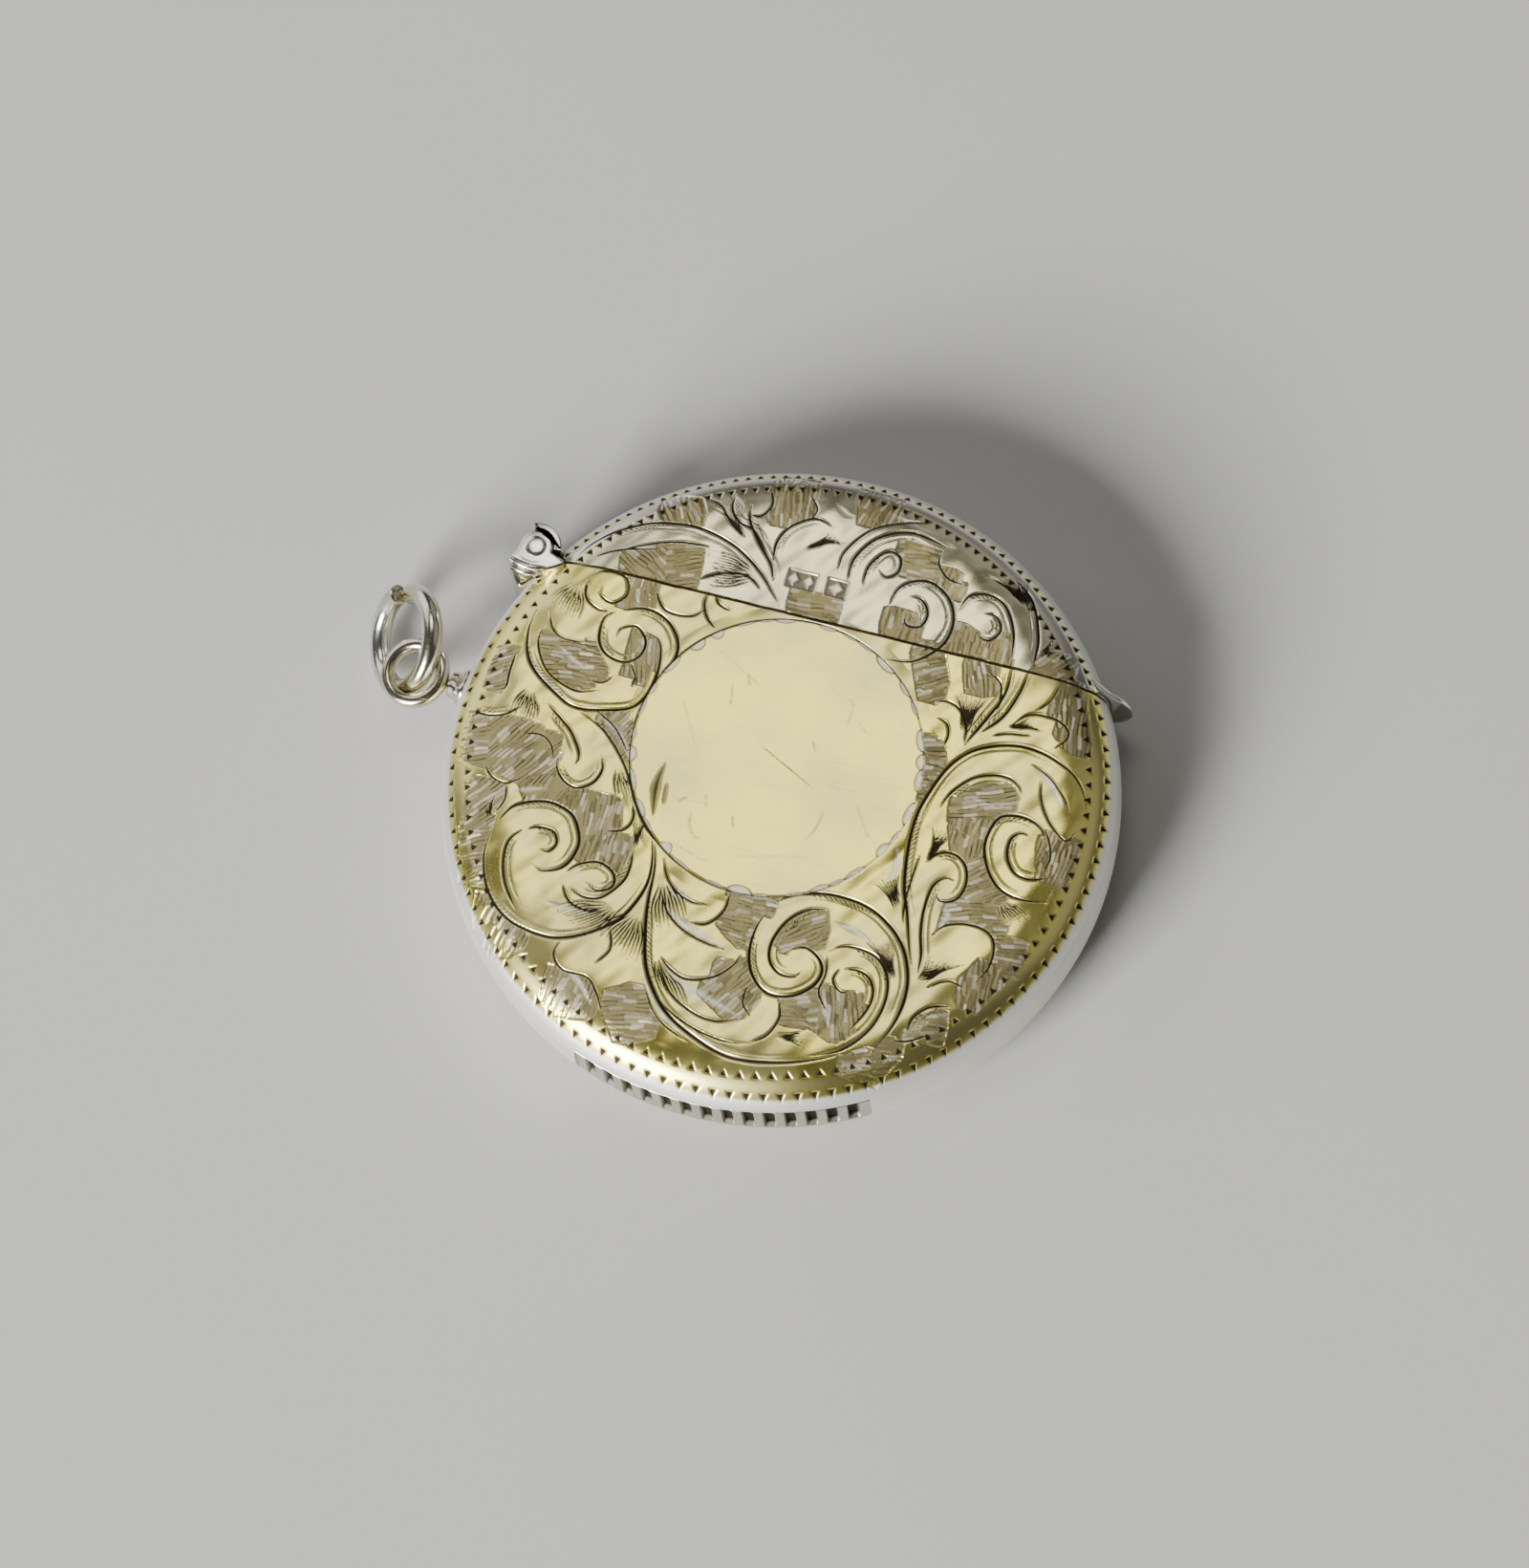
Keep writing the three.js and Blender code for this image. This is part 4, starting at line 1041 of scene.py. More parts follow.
def tube(path, radius, sides=20, start_normal=(0, 0, 1)):
    """Round wire along a path: a circle of the given radius in each plane across it."""
    path = np.asarray(path, float)
    radius = np.broadcast_to(radius, len(path))[:, None, None]
    forward = np.gradient(path, axis=0)
    forward /= np.linalg.norm(forward, axis=1, keepdims=True)
    first = np.cross(forward, np.asarray(start_normal, float))
    first /= np.linalg.norm(first, axis=1, keepdims=True)
    second = np.cross(forward, first)
    turn = np.linspace(0, 2 * math.pi, sides, endpoint=False)[None, :, None]
    ring = np.cos(turn) * first[:, None] + np.sin(turn) * second[:, None]
    return path[:, None] + radius * ring


def lathe(profile, origin, axis, sides=48):
    """A turned form: radius and distance along axis, carried once round it."""
    profile = np.asarray(profile, float)
    axis = np.asarray(axis, float) / np.linalg.norm(axis)
    helper = (1, 0, 0) if abs(axis[0]) < 0.9 else (0, 1, 0)
    first = np.cross(axis, helper)
    first /= np.linalg.norm(first)
    second = np.cross(axis, first)
    turn = np.linspace(0, 2 * math.pi, sides, endpoint=False)[None, :, None]
    ring = np.cos(turn) * first + np.sin(turn) * second
    return np.asarray(origin) + profile[:, 1, None, None] * axis + profile[:, 0, None, None] * ring


def rounded_plate(outline, low, high, rounding, steps=5):
    """A plate of an XY outline between two heights from the middle plane. Its edges are
    rounded by quarter circles: the outline moves in along its normals as it rises."""
    outline = np.asarray(outline, float)
    ahead, behind = np.roll(outline, -1, axis=0), np.roll(outline, 1, axis=0)
    along = ahead - behind
    along /= np.maximum(np.hypot(*along.T)[:, None], 1e-9)
    area = np.sum(outline[:, 0] * ahead[:, 1] - ahead[:, 0] * outline[:, 1])
    inward = np.column_stack([-along[:, 1], along[:, 0]]) * np.sign(area)
    turn = np.linspace(0, math.pi / 2, steps)
    shift = rounding * (1 - np.cos(turn))
    rise = rounding * (1 - np.sin(turn))
    levels = [(shift[-1 - k], low + rise[-1 - k]) for k in range(steps)]
    levels += [(shift[k], high - rise[k]) for k in range(steps)]
    return np.stack([
        np.column_stack([outline + inward * move, np.full(len(outline), MIDDLE + level)])
        for move, level in levels
    ])


def arc(centre, radius, start, end, count):
    turn = np.radians(np.linspace(start, end, count))
    return np.column_stack([
        centre[0] + radius * np.cos(turn), centre[1] + radius * np.sin(turn),
    ])


def bend(a, control, b, count=10):
    """A quadratic curve from a to b, drawn towards the control point."""
    t = np.linspace(0, 1, count)[:, None]
    a, control, b = (np.asarray(p, float) for p in (a, control, b))
    return (1 - t) ** 2 * a + 2 * t * (1 - t) * control + t**2 * b


# Materials


def node_group(name, inputs, outputs, build):
    """A shader node group with named sockets, made once."""
    if name in bpy.data.node_groups:
        return bpy.data.node_groups[name]
    group = bpy.data.node_groups.new(name, "ShaderNodeTree")
    for socket, kind, default in inputs:
        made = group.interface.new_socket(name=socket, in_out="INPUT", socket_type=kind)
        if default is not None:
            made.default_value = default
    for socket, kind in outputs:
        group.interface.new_socket(name=socket, in_out="OUTPUT", socket_type=kind)
    build(group, group.nodes.new("NodeGroupInput"), group.nodes.new("NodeGroupOutput"))
    return group


def add_node(tree, kind, inputs=None, **settings):
    """A node with its settings, and its inputs linked or given a value."""
    node = tree.nodes.new(kind)
    for key, value in settings.items():
        setattr(node, key, value)
    for key, value in (inputs or {}).items():
        if isinstance(value, bpy.types.NodeSocket):
            tree.links.new(value, node.inputs[key])
        else:
            node.inputs[key].default_value = value
    return node


def calculate(tree, operation, *values, clamp=False):
    return add_node(
        tree, "ShaderNodeMath", dict(enumerate(values)), operation=operation, use_clamp=clamp,
    ).outputs[0]


def mix_colours(tree, factor, first, second):
    node = add_node(
        tree, "ShaderNodeMix", {0: factor, 6: first, 7: second},
        data_type="RGBA", clamp_factor=True,
    )
    return node.outputs[2]


def remap(tree, value, low, high, to_low, to_high):
    return add_node(
        tree, "ShaderNodeMapRange", {0: value, 1: low, 2: high, 3: to_low, 4: to_high},
    ).outputs[0]


def rgba(value):
    return (*value[:3], 1.0)


def build_handling(group, given, result):
    """Fine scratches in two directions, cloudy wear and small pits, in object space."""
    place = add_node(group, "ShaderNodeTexCoord").outputs["Object"]
    marks = []
    for turn, stretch in ((0.5, (160, 11000, 900)), (-0.7, (150, 12500, 900))):
        mapped = add_node(
            group, "ShaderNodeMapping",
            {"Vector": place, "Rotation": (0, 0, turn), "Scale": stretch},
        ).outputs[0]
        grain = add_node(
            group, "ShaderNodeTexNoise",
            {"Vector": mapped, "Scale": 1.0, "Detail": 2.0, "Distortion": 0.4},
        ).outputs["Fac"]
        marks.append(remap(group, grain, 0.62, 0.80, 0.0, 1.0))
    scratches = calculate(group, "MAXIMUM", *marks)
    clouds = add_node(
        group, "ShaderNodeTexNoise",
        {"Vector": place, "Scale": given.outputs["Cloud Scale"], "Detail": 4.0},
    ).outputs["Fac"]
    pits = add_node(
        group, "ShaderNodeTexNoise", {"Vector": place, "Scale": 2600.0, "Detail": 3.0},
    ).outputs["Fac"]
    group.links.new(scratches, result.inputs["Scratches"])
    group.links.new(remap(group, clouds, 0.38, 0.64, 0.0, 1.0), result.inputs["Wear"])
    fine = calculate(group, "MULTIPLY", pits, 0.35)
    height = calculate(
        group, "SUBTRACT", fine, calculate(group, "MULTIPLY", scratches, 0.15),
    )
    group.links.new(height, result.inputs["Height"])


def handling_group():
    return node_group(
        "handling_marks",
        [("Cloud Scale", "NodeSocketFloat", 160.0)],
        [(name, "NodeSocketFloat") for name in ("Scratches", "Wear", "Height")],
        build_handling,
    )


def build_engraved(group, given, result):
    """Colour and roughness of an engraved face, from its masks."""
    take = given.outputs
    worn = mix_colours(group, take["Wear"], take["Face"], take["Worn"])
    worn = mix_colours(group, take["Band"], worn, take["Rich"])
    worn = mix_colours(group, take["Rim"], worn, take["Bare Silver"])
    sunk = mix_colours(group, take["Ground"], worn, take["Hatched"])
    # painted highlight mixed over the flats and the ground
    lit = mix_colours(group, take["Bright"], sunk, take["Bright Cut"])
    depth = remap(group, take["Cut"], 0.18, 0.58, 0.0, 1.0)
    dark = mix_colours(group, depth, lit, take["Tarnish"])
    group.links.new(dark, result.inputs["Colour"])
    rough = calculate(group, "MULTIPLY_ADD", take["Ground"], 0.16, take["Base Roughness"])
    rough = calculate(group, "MULTIPLY_ADD", depth, 0.3, rough)
    rough = calculate(group, "MULTIPLY_ADD", take["Wear"], 0.06, rough)
    rough = calculate(group, "MULTIPLY_ADD", take["Bright"], 0.1, rough)
    rough = calculate(group, "MULTIPLY_ADD", take["Rim"], 0.28, rough)
    group.links.new(rough, result.inputs["Roughness"])


def engraved_group():
    colours = ("Face", "Worn", "Rich", "Bare Silver", "Hatched", "Bright Cut", "Tarnish")
    values = ("Cut", "Ground", "Bright", "Band", "Rim", "Wear")
    return node_group(
        "engraved_finish",
        [(name, "NodeSocketColor", None) for name in colours]
        + [(name, "NodeSocketFloat", 0.0) for name in values]
        + [("Base Roughness", "NodeSocketFloat", 0.26)],
        [("Colour", "NodeSocketColor"), ("Roughness", "NodeSocketFloat")],
        build_engraved,
    )


def start_material(name):
    material = bpy.data.materials.get(name)
    if material:
        return material, None, None
    material = bpy.data.materials.new(name)
    material.use_nodes = True
    tree = material.node_tree
    shader = tree.nodes["Principled BSDF"]
    shader.inputs["Metallic"].default_value = 1.0
    return material, tree, shader


def add_bump(tree, shader, height, distance):
    bump = add_node(
        tree, "ShaderNodeBump", {"Height": height, "Strength": 0.6, "Distance": distance},
    )
    tree.links.new(bump.outputs[0], shader.inputs["Normal"])


def gilt_material(name, face, worn, rich, roughness=0.26):
    """Engraved silver gilt: coloured flats, hatched ground, painted highlights and black bottoms
    in the cuts.
    """
    material, tree, shader = start_material(name)
    if tree is None:
        return material
    tones = finishes()
    marks = add_node(tree, "ShaderNodeGroup", node_tree=handling_group())
    marks.inputs["Cloud Scale"].default_value = 150.0
    finish = add_node(tree, "ShaderNodeGroup", node_tree=engraved_group())
    for socket, value in (
        ("Face", face), ("Worn", worn), ("Rich", rich), ("Bare Silver", tones.silver),
        ("Hatched", tones.ground), ("Bright Cut", tones.bright), ("Tarnish", tones.tarnish),
    ):
        finish.inputs[socket].default_value = rgba(value)
    finish.inputs["Base Roughness"].default_value = roughness
    for mask in MASKS:
        layer = add_node(tree, "ShaderNodeAttribute", attribute_name=mask)
        tree.links.new(layer.outputs["Fac"], finish.inputs[mask.title()])
    tree.links.new(marks.outputs["Wear"], finish.inputs["Wear"])
    tree.links.new(finish.outputs["Colour"], shader.inputs["Base Color"])
    tree.links.new(finish.outputs["Roughness"], shader.inputs["Roughness"])
    add_bump(tree, shader, marks.outputs["Height"], 0.00002)
    return material


def metal_material(name, clean, warm, roughness, cloud=220.0, warmth=0.6, slotted=False):
    """Plain worn metal: clouds of a warmer tone, fine scratches, and dark slots if any."""
    material, tree, shader = start_material(name)
    if tree is None:
        return material
    marks = add_node(tree, "ShaderNodeGroup", node_tree=handling_group())
    marks.inputs["Cloud Scale"].default_value = cloud
    amount = calculate(tree, "MULTIPLY", marks.outputs["Wear"], warmth)
    tone = mix_colours(tree, amount, rgba(clean), rgba(warm))
    rough = calculate(tree, "MULTIPLY_ADD", marks.outputs["Scratches"], 0.12, roughness)
    if slotted:
        layer = add_node(tree, "ShaderNodeAttribute", attribute_name="cut").outputs["Fac"]
        tone = mix_colours(tree, layer, tone, rgba(finishes().tarnish))
        rough = calculate(tree, "MULTIPLY_ADD", layer, 0.35, rough)
    tree.links.new(tone, shader.inputs["Base Color"])
    tree.links.new(rough, shader.inputs["Roughness"])
    add_bump(tree, shader, marks.outputs["Height"], 0.00002)
    return material


def body_gilt():
    tones = finishes()
    return gilt_material("silver_gilt_body", tones.gilt, tones.gilt_rich, tones.gilt_rich)


def lid_gilt():
    tones = finishes()
    return gilt_material("silver_gilt_lid", tones.gilt_pale, tones.silver_pale, tones.silver, 0.24)


def silver():
    return metal_material(
        "worn_silver", finishes().silver, finishes().silver_warm, 0.2, 320.0, 0.8,
    )


def band_silver():
    return metal_material(
        "band_silver", finishes().silver, finishes().silver_warm, 0.62, 120.0, 0.2,
    )


# Pieces


class VestaOperator(bpy.types.Operator):
    bl_options = {"REGISTER", "UNDO"}


class BodyFaces(VestaOperator):
    """Build the engraved front and back faces of the body"""

    bl_idname = "vesta.body_faces"
    bl_label = "Body Faces"

    def execute(self, context):
        pitch = sizes().grid_pitch / MM
        names = ["body_front_core"] + [f"body_front_sector_{k}" for k in range(1, 6)]
        body_face(1, pitch, 5, names, body_gilt(), ["body_front_shell"])
        names = ["body_back_core"] + [f"body_back_sector_{k}" for k in range(1, 4)]
        body_face(-1, pitch * 1.45, 3, names, body_gilt(), ["body_back_shell"])
        return {"FINISHED"}


class LidFaces(VestaOperator):
    """Build the engraved front and back faces of the lid"""

    bl_idname = "vesta.lid_faces"
    bl_label = "Lid Faces"

    def execute(self, context):
        pitch = sizes().grid_pitch / MM
        lid_face(1, pitch * 0.97, "lid_front_face", lid_gilt(), ["lid_front_shell"])
        lid_face(-1, pitch * 1.4, "lid_back_face", lid_gilt(), ["lid_back_shell"])
        return {"FINISHED"}


class RimBands(VestaOperator):
    """Build the plain silver bands round the side of body and lid"""

    bl_idname = "vesta.rim_bands"
    bl_label = "Rim Bands"

    def execute(self, context):
        rim_band(
            "body_side_band", "case_body",
            lambda radius: HINGE_TURN + notch_turn(radius, BAND_NOTCH),
            lambda radius: 2 * math.pi + np.arcsin((MOUTH - PARTED) / radius),
            band_silver(), ["body_rim_band"],
        )
        rim_band(
            "lid_side_band", "lid",
            lambda radius: np.arcsin((MOUTH + PARTED) / radius),
            lambda radius: HINGE_TURN - notch_turn(radius, BAND_NOTCH),
            band_silver(), ["lid_rim_band"],
        )
        return {"FINISHED"}


class MouthLiner(VestaOperator):
    """Build the liner that stands in the mouth"""

    bl_idname = "vesta.mouth_liner"
    bl_label = "Mouth Liner"

    def execute(self, context):
        """Each row is the section of the case at one y, for a surface moved in by an inset:
        two half superellipses in the radius, joined by the flats of the two faces."""
        low, high = span_mm("mouth_liner")
        foot, lip = low[1], high[1]
        out, into = LINER_INSET, LINER_INSET + LINER_WALL
        rows = [(foot, out), (foot + 0.3, out), (MOUTH, out), (lip - 0.12, out + 0.005),
                (lip - 0.03, out + 0.05), (lip, out + 0.17), (lip - 0.03, into - 0.05),
                (lip - 0.12, into), (MOUTH, into), (foot + 0.3, into), (foot, into)]
        turn = np.linspace(-math.pi / 2, math.pi / 2, 40)
        flat = np.linspace(1, -1, 60)[1:-1]
        grid = []
        for y, inset in rows:
            power = 2 / EDGE_FULLNESS
            radius = FLAT_RADIUS + (EDGE_REACH - inset) * np.cos(turn).clip(0) ** power
            x = np.sqrt(radius**2 - y**2)
            level = (HALF_THICKNESS - inset) * np.sign(turn) * np.abs(np.sin(turn)) ** power
            gap = max(NOTCH**2 - (y - HINGE[1]) ** 2, 0)
            stop = HINGE[0] + math.sqrt(gap) + 0.03 + max(inset - out, 0)
            left = np.maximum(-x[::-1], stop) if gap > 0 else -x[::-1]
            xs = np.concatenate([x, flat * x[-1], left, -flat * x[0]])
            zs = np.concatenate([
                level, np.full(len(flat), level[-1]), level[::-1], np.full(len(flat), level[0]),
            ])
            grid.append(np.column_stack([xs, np.full(len(xs), y), MIDDLE + zs]))
        make_piece(
            "mouth_liner_sleeve", np.stack(grid), lid_gilt(), "case_body",
            ["mouth_liner"], wrap_rows=True,
        )
        return {"FINISHED"}


class Striker(VestaOperator):
    """Build the ribbed striker under the case"""

    bl_idname = "vesta.striker"
    bl_label = "Striker"

    def execute(self, context):
        """Radius over angle and height: a strip with rounded long edges, less a rounded
        groove at each pitch."""
        tones = finishes()
        material = metal_material(
            "striker_metal", tones.striker, tones.silver_warm, 0.3, 300.0, 0.5, True,
        )
        half_height, ribs = STRIKER_HALF_HEIGHT, sizes().striker_ribs
        turn = np.linspace(-STRIKER_HALF_TURN, STRIKER_HALF_TURN, 36 * ribs)[:, None]
        level = np.linspace(-half_height, half_height, 25)
        phase = turn / STRIKER_PITCH + (ribs - 1) / 2
        near = np.abs(phase - np.clip(np.round(phase), 0, ribs - 1))
        groove = np.clip((0.30 - near) / 0.10, 0, 1)
        groove = groove * groove * (3 - 2 * groove)
        edge = np.clip((half_height - np.abs(level)) / 0.22, 0, 1)
        lift = np.sqrt(1 - (1 - edge) ** 2)
        window = np.clip((half_height - 0.12 - np.abs(level)) / 0.15, 0, 1)
        top = STRIKER_OUTER - 0.22 * (1 - lift) - STRIKER_GROOVE * groove * window
        under = np.full(top.shape, STRIKER_INNER)
        radius = np.concatenate([top, under], axis=1)
        heights = np.concatenate([level, level[::-1]])
        angle = turn + STRIKER_TURN
        grid = np.stack([
            radius * np.cos(angle), radius * np.sin(angle),
            np.broadcast_to(MIDDLE + heights, radius.shape),
        ], axis=-1)
        dark = np.concatenate([groove * window, np.zeros(top.shape)], axis=1)
        make_piece(
            "striker_ribs", grid, material, "case_body",
            ["striker_plate"], masks={"cut": dark},
        )
        return {"FINISHED"}


class HingeBracket(VestaOperator):
    """Build the hinge bracket: two rounded plates, their web, the foot and its mouldings"""

    bl_idname = "vesta.hinge_bracket"
    bl_label = "Hinge Bracket"

    def execute(self, context):
        lower = np.vstack([
            bend((-1.6, -1.2), (-0.4, -1.9), (0.9, -1.42)),
            bend((1.0, -1.38), (1.6, -1.1), (2.0, -0.74), 6)[1:],
            [(2.0, -0.5)],
        ])
        crown = arc((0, 0), BARREL_RADIUS, -8, 176, 40)
        waist = bend((-1.05, 0.05), (-1.05, -0.75), (-1.58, -1.12), 8)[1:-1]
        outline = HINGE + np.vstack([lower, crown, waist])
        for name, low, high in (
            ("hinge_front_plate", BRACKET_INNER, BRACKET_OUTER),
            ("hinge_back_plate", -BRACKET_OUTER, -BRACKET_INNER),
        ):
            make_piece(
                name, rounded_plate(outline, low, high, 0.14), silver(), "case_body",
                ["hinge_bracket"] if low > 0 else (),
            )
        cradle = HINGE + np.vstack([lower, arc((0, 0), SOCKET_RADIUS, -10, -156, 40)])
        make_piece(
            "hinge_cradle", rounded_plate(cradle, -BRACKET_INNER, BRACKET_INNER, 0.02, 2),
            silver(), "case_body",
        )
        foot = np.vstack([
            bend(HINGE + (-1.5, -1.15), HINGE + (-1.15, -1.95), HINGE + (-0.75, -2.3), 14),
            bend(HINGE + (-0.7, -2.35), HINGE + (-0.5, -2.5), HINGE + (-0.2, -2.2), 8)[1:],
            [HINGE + (0.4, -1.6), HINGE + (0.2, -1.25), HINGE + (-0.9, -1.1)],
        ])
        make_piece(
            "hinge_foot", rounded_plate(foot, -FOOT_HALF, FOOT_HALF, 0.3, 7), silver(),
            "case_body",
        )
        for index, (a, control, b, size) in enumerate((
            ((-1.42, -1.02), (-0.3, -1.78), (1.0, -1.2), 0.24),
            ((-1.12, -0.72), (-0.2, -1.4), (1.0, -0.76), 0.11),
            ((-1.36, -1.36), (-0.5, -2.06), (0.5, -1.7), 0.22),
        )):
            flat = HINGE + bend(a, control, b, 30)
            swell = np.sin(np.linspace(0.02, math.pi - 0.02, len(flat)))
            wire = size * np.sqrt(np.clip(swell, 0, 1))
            for side, word in ((1, "front"), (-1, "back")):
                level = MIDDLE + side * (BRACKET_OUTER - 0.02 - 0.06 * index)
                path = np.column_stack([flat, np.full(len(flat), level)])
                make_piece(
                    f"hinge_moulding_{word}_{index + 1}", tube(path, wire, 14), silver(),
                    "case_body",
                )
        return {"FINISHED"}


class HingePin(VestaOperator):
    """Build the hinge pin, with peened ends"""

    bl_idname = "vesta.hinge_pin"
    bl_label = "Hinge Pin"

    def execute(self, context):
        """A turned form: a straight shank with low domed ends."""
        radius, end = PIN_RADIUS, PIN_HALF
        half = [(radius, 0), (radius, end - 0.15), (radius * 0.97, end - 0.08),
                (radius * 0.90, end - 0.05), (radius * 0.6, end - 0.02),
                (radius * 0.3, end - 0.005), (AXLE, end)]
        profile = [(r, -h) for r, h in half[:0:-1]] + half[1:]
        make_piece(
            "hinge_pin_peened", lathe(profile, (*HINGE, MIDDLE), (0, 0, 1), 64), silver(),
            "case_body", ["hinge_pin"],
        )
        return {"FINISHED"}


class LidKnuckle(VestaOperator):
    """Build the knuckle of the lid: barrel, web and strap"""

    bl_idname = "vesta.lid_knuckle"
    bl_label = "Lid Knuckle"

    def execute(self, context):
        bore, barrel, half = PIN_RADIUS + 0.06, BARREL_RADIUS, BARREL_HALF
        profile = [(bore, -half), (barrel - 0.06, -half), (barrel, -half + 0.06),
                   (barrel, -0.9), (barrel - 0.04, -0.85), (barrel - 0.04, 0.85),
                   (barrel, 0.9), (barrel, half - 0.06), (barrel - 0.06, half), (bore, half)]
        make_piece(
            "lid_barrel", lathe(profile, (*HINGE, MIDDLE), (0, 0, 1), 64), silver(), "lid",
            ["lid_knuckle"], wrap_rows=True,
        )
        web = np.vstack([arc(HINGE, 1.3, 25, 95, 16), arc(HINGE, 0.9, 95, 25, 16)])
        make_piece(
            "lid_web", rounded_plate(web, -half, half, 0.02, 2), silver(), "lid",
        )
        start, end = STRAP_TURNS
        strap = np.vstack([
            arc(HINGE, STRAP_OUTER, start, end, 40), arc(HINGE, STRAP_INNER, end, start, 30),
        ])
        make_piece(
            "lid_strap", rounded_plate(strap, -BRACKET_OUTER, BRACKET_OUTER, 0.12), silver(),
            "lid",
        )
        return {"FINISHED"}


class ThumbPiece(VestaOperator):
    """Build the thumb piece at the end of the lid"""

    bl_idname = "vesta.thumb_piece"
    bl_label = "Thumb Piece"

    def execute(self, context):
        """A lip whose section is a thin curved wedge, carried across the case. Its reach at
        a distance h from the middle follows a circle of the half width."""
        under = MOUTH + 0.13
        section = np.vstack([
            bend((17.2, under), (18.6, under - 0.01), (19.8, under + 0.03), 14),
            bend((19.84, under + 0.04), (19.99, under + 0.14), (19.84, under + 0.3), 7)[1:],
            bend((19.76, under + 0.34), (18.9, under + 0.66), (17.5, under + 1.25), 14),
        ])
        base, half = 16.9, THUMB_HALF
        height = half * np.sin(np.linspace(-math.pi / 2, math.pi / 2, 49) * 0.985)
        reach = (17.4 + np.sqrt(half**2 - height**2) - base) / (20.0 - base)
        x = base + (section[:, 0] - base) * reach[:, None]
        thin = 0.55 + 0.45 * reach[:, None]
        y = under + (section[:, 1] - under) * thin
        grid = np.stack([
            x, y, np.broadcast_to(MIDDLE + height[:, None], x.shape),
        ], axis=-1)
        make_piece(
            "thumb_lip", grid, silver(), "lid", ["thumb_piece"], sharp=60,
        )
        return {"FINISHED"}


class Spring(VestaOperator):
    """Build the flat spring inside the body, and its rivet"""

    bl_idname = "vesta.spring"
    bl_label = "Lid Spring"

    def execute(self, context):
        tones = finishes()
        steel = metal_material("spring_steel", tones.steel, tones.silver_warm, 0.35, 400.0, 0.4)
        start, end = SPRING_TURNS
        strip = np.vstack([
            arc((0, 0), SPRING_OUTER, start, end, 60), arc((0, 0), SPRING_INNER, end, start, 60),
        ])
        make_piece(
            "lid_spring_leaf", rounded_plate(strip, -1.3, 1.3, 0.08, 4), steel, "case_body",
            ["lid_spring"],
        )
        out = np.array([math.cos(RIVET_TURN), math.sin(RIVET_TURN), 0])
        profile = [(AXLE, 19.58), (0.35, 19.6), (0.62, 19.68), (0.78, 19.8), (0.78, 19.88),
                   (0.5, 19.9), (0.5, 20.96), (AXLE, 20.96)]
        make_piece(
            "spring_rivet_head", lathe(profile, (0, 0, MIDDLE), out, 32), silver(),
            "case_body", ["spring_rivet"],
        )
        return {"FINISHED"}


class Bow(VestaOperator):
    """Build the soldered collar and the bow"""

    bl_idname = "vesta.bow"
    bl_label = "Bow"

    def execute(self, context):
        """The collar is turned, with lumps of solder as a wave in the angle. The bow is a
        closed ring of round wire that thins a little towards its outer side."""
        out = np.array([math.cos(BOW_TURN), math.sin(BOW_TURN), 0])
        profile = np.array([
            (AXLE, 20.6), (1.25, 20.6), (1.3, 21.3), (1.22, 21.5), (1.0, 21.7), (0.88, 21.95),
            (0.86, 22.15), (0.78, 22.36), (0.5, 22.46), (AXLE, 22.48),
        ])
        grid = lathe(profile, (0, 0, MIDDLE), out, 48)
        spin = np.linspace(0, 2 * math.pi, 48, endpoint=False)
        lumps = 1 + 0.05 * np.sin(3 * spin + 0.7) + 0.035 * np.sin(5 * spin)
        axis = np.array([0, 0, MIDDLE]) + profile[:, 1, None, None] * out
        grid = axis + (grid - axis) * lumps[None, :, None]
        make_piece("bow_solder_collar", grid, silver(), "case_body", ["bow_collar"])
        tilt = BOW_AXIS / np.linalg.norm(BOW_AXIS)
        first = out - tilt * (out @ tilt)
        first /= np.linalg.norm(first)
        second = np.cross(tilt, first)
        centre = BOW_DISTANCE * out + (0, 0, MIDDLE)
        angle = np.linspace(0, 2 * math.pi, 120, endpoint=False)
        path = centre + BOW_RADIUS * (
            np.cos(angle)[:, None] * first + np.sin(angle)[:, None] * second
        )
        wire = sizes().bow_wire / MM * (0.97 - 0.03 * np.cos(angle))
        forward = np.roll(path, -1, axis=0) - np.roll(path, 1, axis=0)
        forward /= np.linalg.norm(forward, axis=1, keepdims=True)
        outward = np.cross(forward, tilt)
        spin = np.linspace(0, 2 * math.pi, 24, endpoint=False)[None, :, None]
        ring = np.cos(spin) * outward[:, None] + np.sin(spin) * tilt
        grid = path[:, None] + wire[:, None, None] * ring
        make_piece(
            "bow_wire_ring", grid, silver(), "case_body", ["bow_ring"], wrap_rows=True,
        )
        return {"FINISHED"}


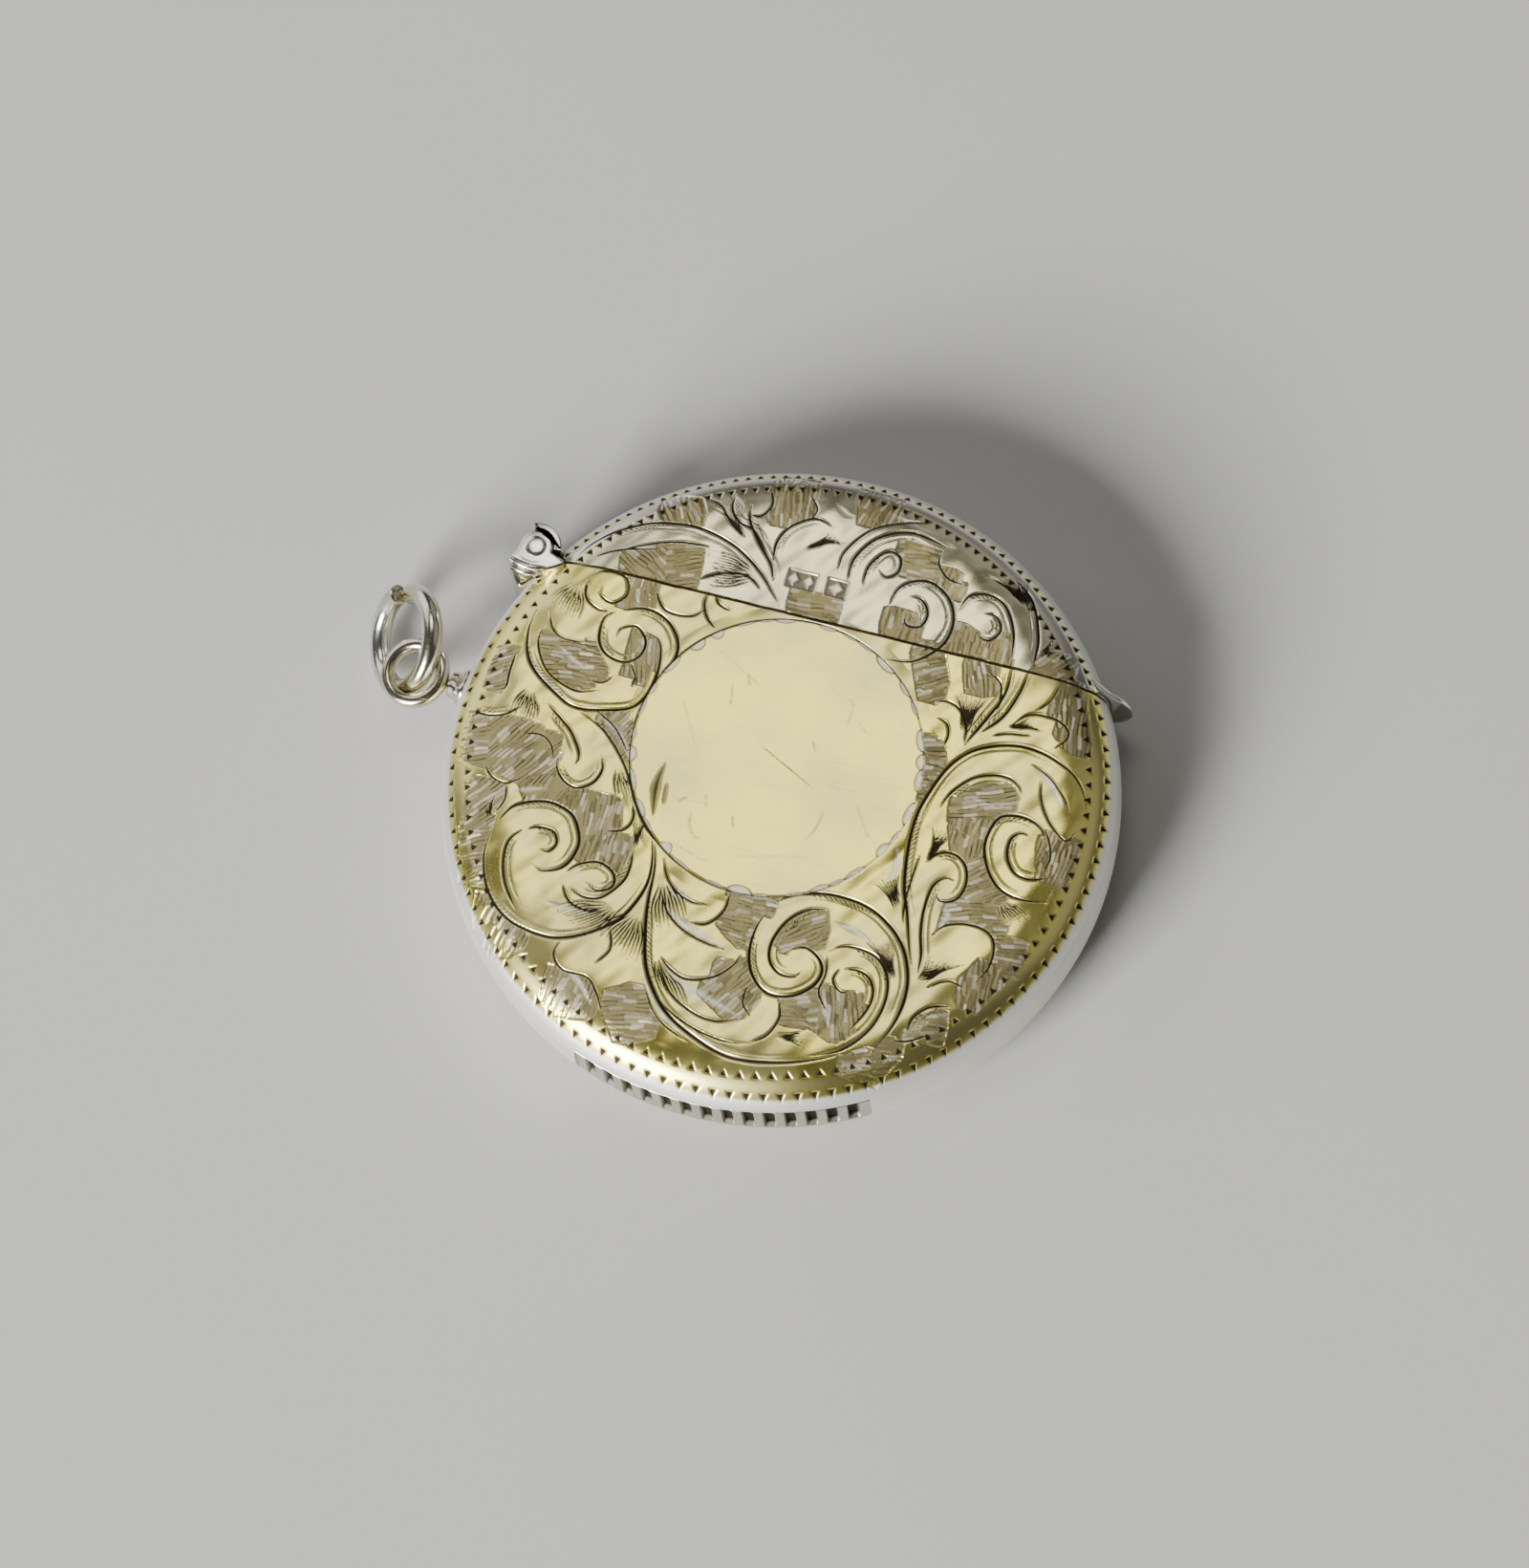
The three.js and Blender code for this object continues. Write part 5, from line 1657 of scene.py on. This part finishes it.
class JumpRing(VestaOperator):
    """Build the split jump ring that hangs in the bow"""

    bl_idname = "vesta.jump_ring"
    bl_label = "Jump Ring"

    def execute(self, context):
        """One turn of round wire whose ends stand side by side, each slightly rounded."""
        axis = JUMP_RING_AXIS / np.linalg.norm(JUMP_RING_AXIS)
        seam = JUMP_RING_SEAM - axis * (JUMP_RING_SEAM @ axis)
        seam /= np.linalg.norm(seam)
        across = np.cross(axis, seam)
        share = np.linspace(0, 1, 160)
        turn = np.radians(1.5 + share * 357)
        circle = np.cos(turn)[:, None] * seam + np.sin(turn)[:, None] * across
        rise = JUMP_RING_SPREAD * (0.5 - share)[:, None] * axis
        path = JUMP_RING_CENTRE + JUMP_RING_RADIUS * circle + rise
        near_end = np.minimum(share, 1 - share) / 0.008
        ends = np.sqrt(np.clip(1 - (1 - np.clip(near_end, 0, 1)) ** 2 * 0.55, 0, 1))
        wire = (sizes().jump_ring_wire / MM - 0.005) * ends
        make_piece(
            "jump_ring_wire", tube(path, wire, 28, axis), silver(), "jump_ring_body",
            ["jump_ring"],
        )
        return {"FINISHED"}


def area_light(name, azimuth, elevation, distance, size, power, tint):
    """A square panel that faces the case from an azimuth from +X and an elevation."""
    turn, rise = math.radians(azimuth), math.radians(elevation)
    away = Vector((
        math.cos(rise) * math.cos(turn), math.cos(rise) * math.sin(turn), math.sin(rise),
    ))
    data = bpy.data.lights.new(name, "AREA")
    data.size, data.energy, data.color = size, power, tint
    light = bpy.data.objects.new(name, data)
    light.location = away * distance
    light.rotation_mode = "QUATERNION"
    light.rotation_quaternion = (-away).to_track_quat("-Z", "Y")
    bpy.context.scene.collection.objects.link(light)


class Stage(VestaOperator):
    """Set the plain floor, the soft lights and the camera"""

    bl_idname = "vesta.stage"
    bl_label = "Stage"

    def execute(self, context):
        reach = FLOOR_REACH
        mesh = bpy.data.meshes.new("studio_floor")
        mesh.from_pydata(
            [(-reach, -reach, 0), (reach, -reach, 0), (reach, reach, 0), (-reach, reach, 0)],
            [], [(0, 1, 2, 3)],
        )
        material, _, shader = start_material("floor_pale")
        shader.inputs["Metallic"].default_value = 0.0
        shader.inputs["Roughness"].default_value = 0.8
        shader.inputs["Base Color"].default_value = rgba(finishes().floor)
        mesh.materials.append(material)
        floor = bpy.data.objects.new("studio_floor", mesh)
        context.scene.collection.objects.link(floor)
        world = bpy.data.worlds.new("studio_world")
        context.scene.world = world
        world.use_nodes = True
        background = world.node_tree.nodes["Background"]
        background.inputs["Color"].default_value = (0.98, 0.99, 1.0, 1.0)
        background.inputs["Strength"].default_value = WORLD_STRENGTH
        for light in LIGHTS:
            area_light(*light)
        self.place_camera(context)
        return {"FINISHED"}

    def place_camera(self, context):
        """The camera stands at an azimuth and elevation from its target, and leans by roll."""
        azimuth, elevation = math.radians(CAMERA_AZIMUTH), math.radians(CAMERA_ELEVATION)
        roll = math.radians(CAMERA_ROLL)
        back = Vector((
            math.cos(elevation) * math.cos(azimuth), math.cos(elevation) * math.sin(azimuth),
            math.sin(elevation),
        ))
        level = Vector((-math.sin(azimuth), math.cos(azimuth), 0))
        upright = back.cross(level)
        right = level * math.cos(roll) + upright * math.sin(roll)
        up = back.cross(right)
        data = bpy.data.cameras.new("studio_camera")
        data.sensor_fit = "HORIZONTAL"
        data.sensor_width = 36.0
        data.lens = CAMERA_LENS
        data.clip_start, data.clip_end = 0.01, 10.0
        camera = bpy.data.objects.new("studio_camera", data)
        turn = Matrix((right, up, back)).transposed().to_4x4()
        camera.matrix_world = Matrix.Translation(CAMERA_TARGET + back * CAMERA_DISTANCE) @ turn
        context.scene.collection.objects.link(camera)
        context.scene.camera = camera


class VestaPanel(bpy.types.Panel):
    """Lists the pieces of the case and their sizes and finishes"""

    bl_idname = "VIEW3D_PT_vesta"
    bl_label = "Vesta Case"
    bl_space_type = "VIEW_3D"
    bl_region_type = "UI"
    bl_category = "Vesta Case"

    def draw(self, context):
        layout = self.layout
        for group in (sizes(), finishes()):
            box = layout.box()
            for name in group.__annotations__:
                box.prop(group, name)
        for operator in OPERATORS:
            layout.operator(operator.bl_idname)


OPERATORS = (
    Stage, BodyFaces, LidFaces, RimBands, MouthLiner, Striker, HingeBracket, HingePin,
    LidKnuckle, ThumbPiece, Spring, Bow, JumpRing,
)
CLASSES = (VestaSizes, VestaFinishes, *OPERATORS, VestaPanel)


def register():
    for item in CLASSES:
        bpy.utils.register_class(item)
    bpy.types.Scene.vesta_sizes = PointerProperty(type=VestaSizes)
    bpy.types.Scene.vesta_finishes = PointerProperty(type=VestaFinishes)


def unregister():
    del bpy.types.Scene.vesta_finishes
    del bpy.types.Scene.vesta_sizes
    for item in reversed(CLASSES):
        bpy.utils.unregister_class(item)


def main():
    register()
    for operator in OPERATORS:
        group, name = operator.bl_idname.split(".")
        getattr(getattr(bpy.ops, group), name)()


if __name__ == "__main__":
    main()
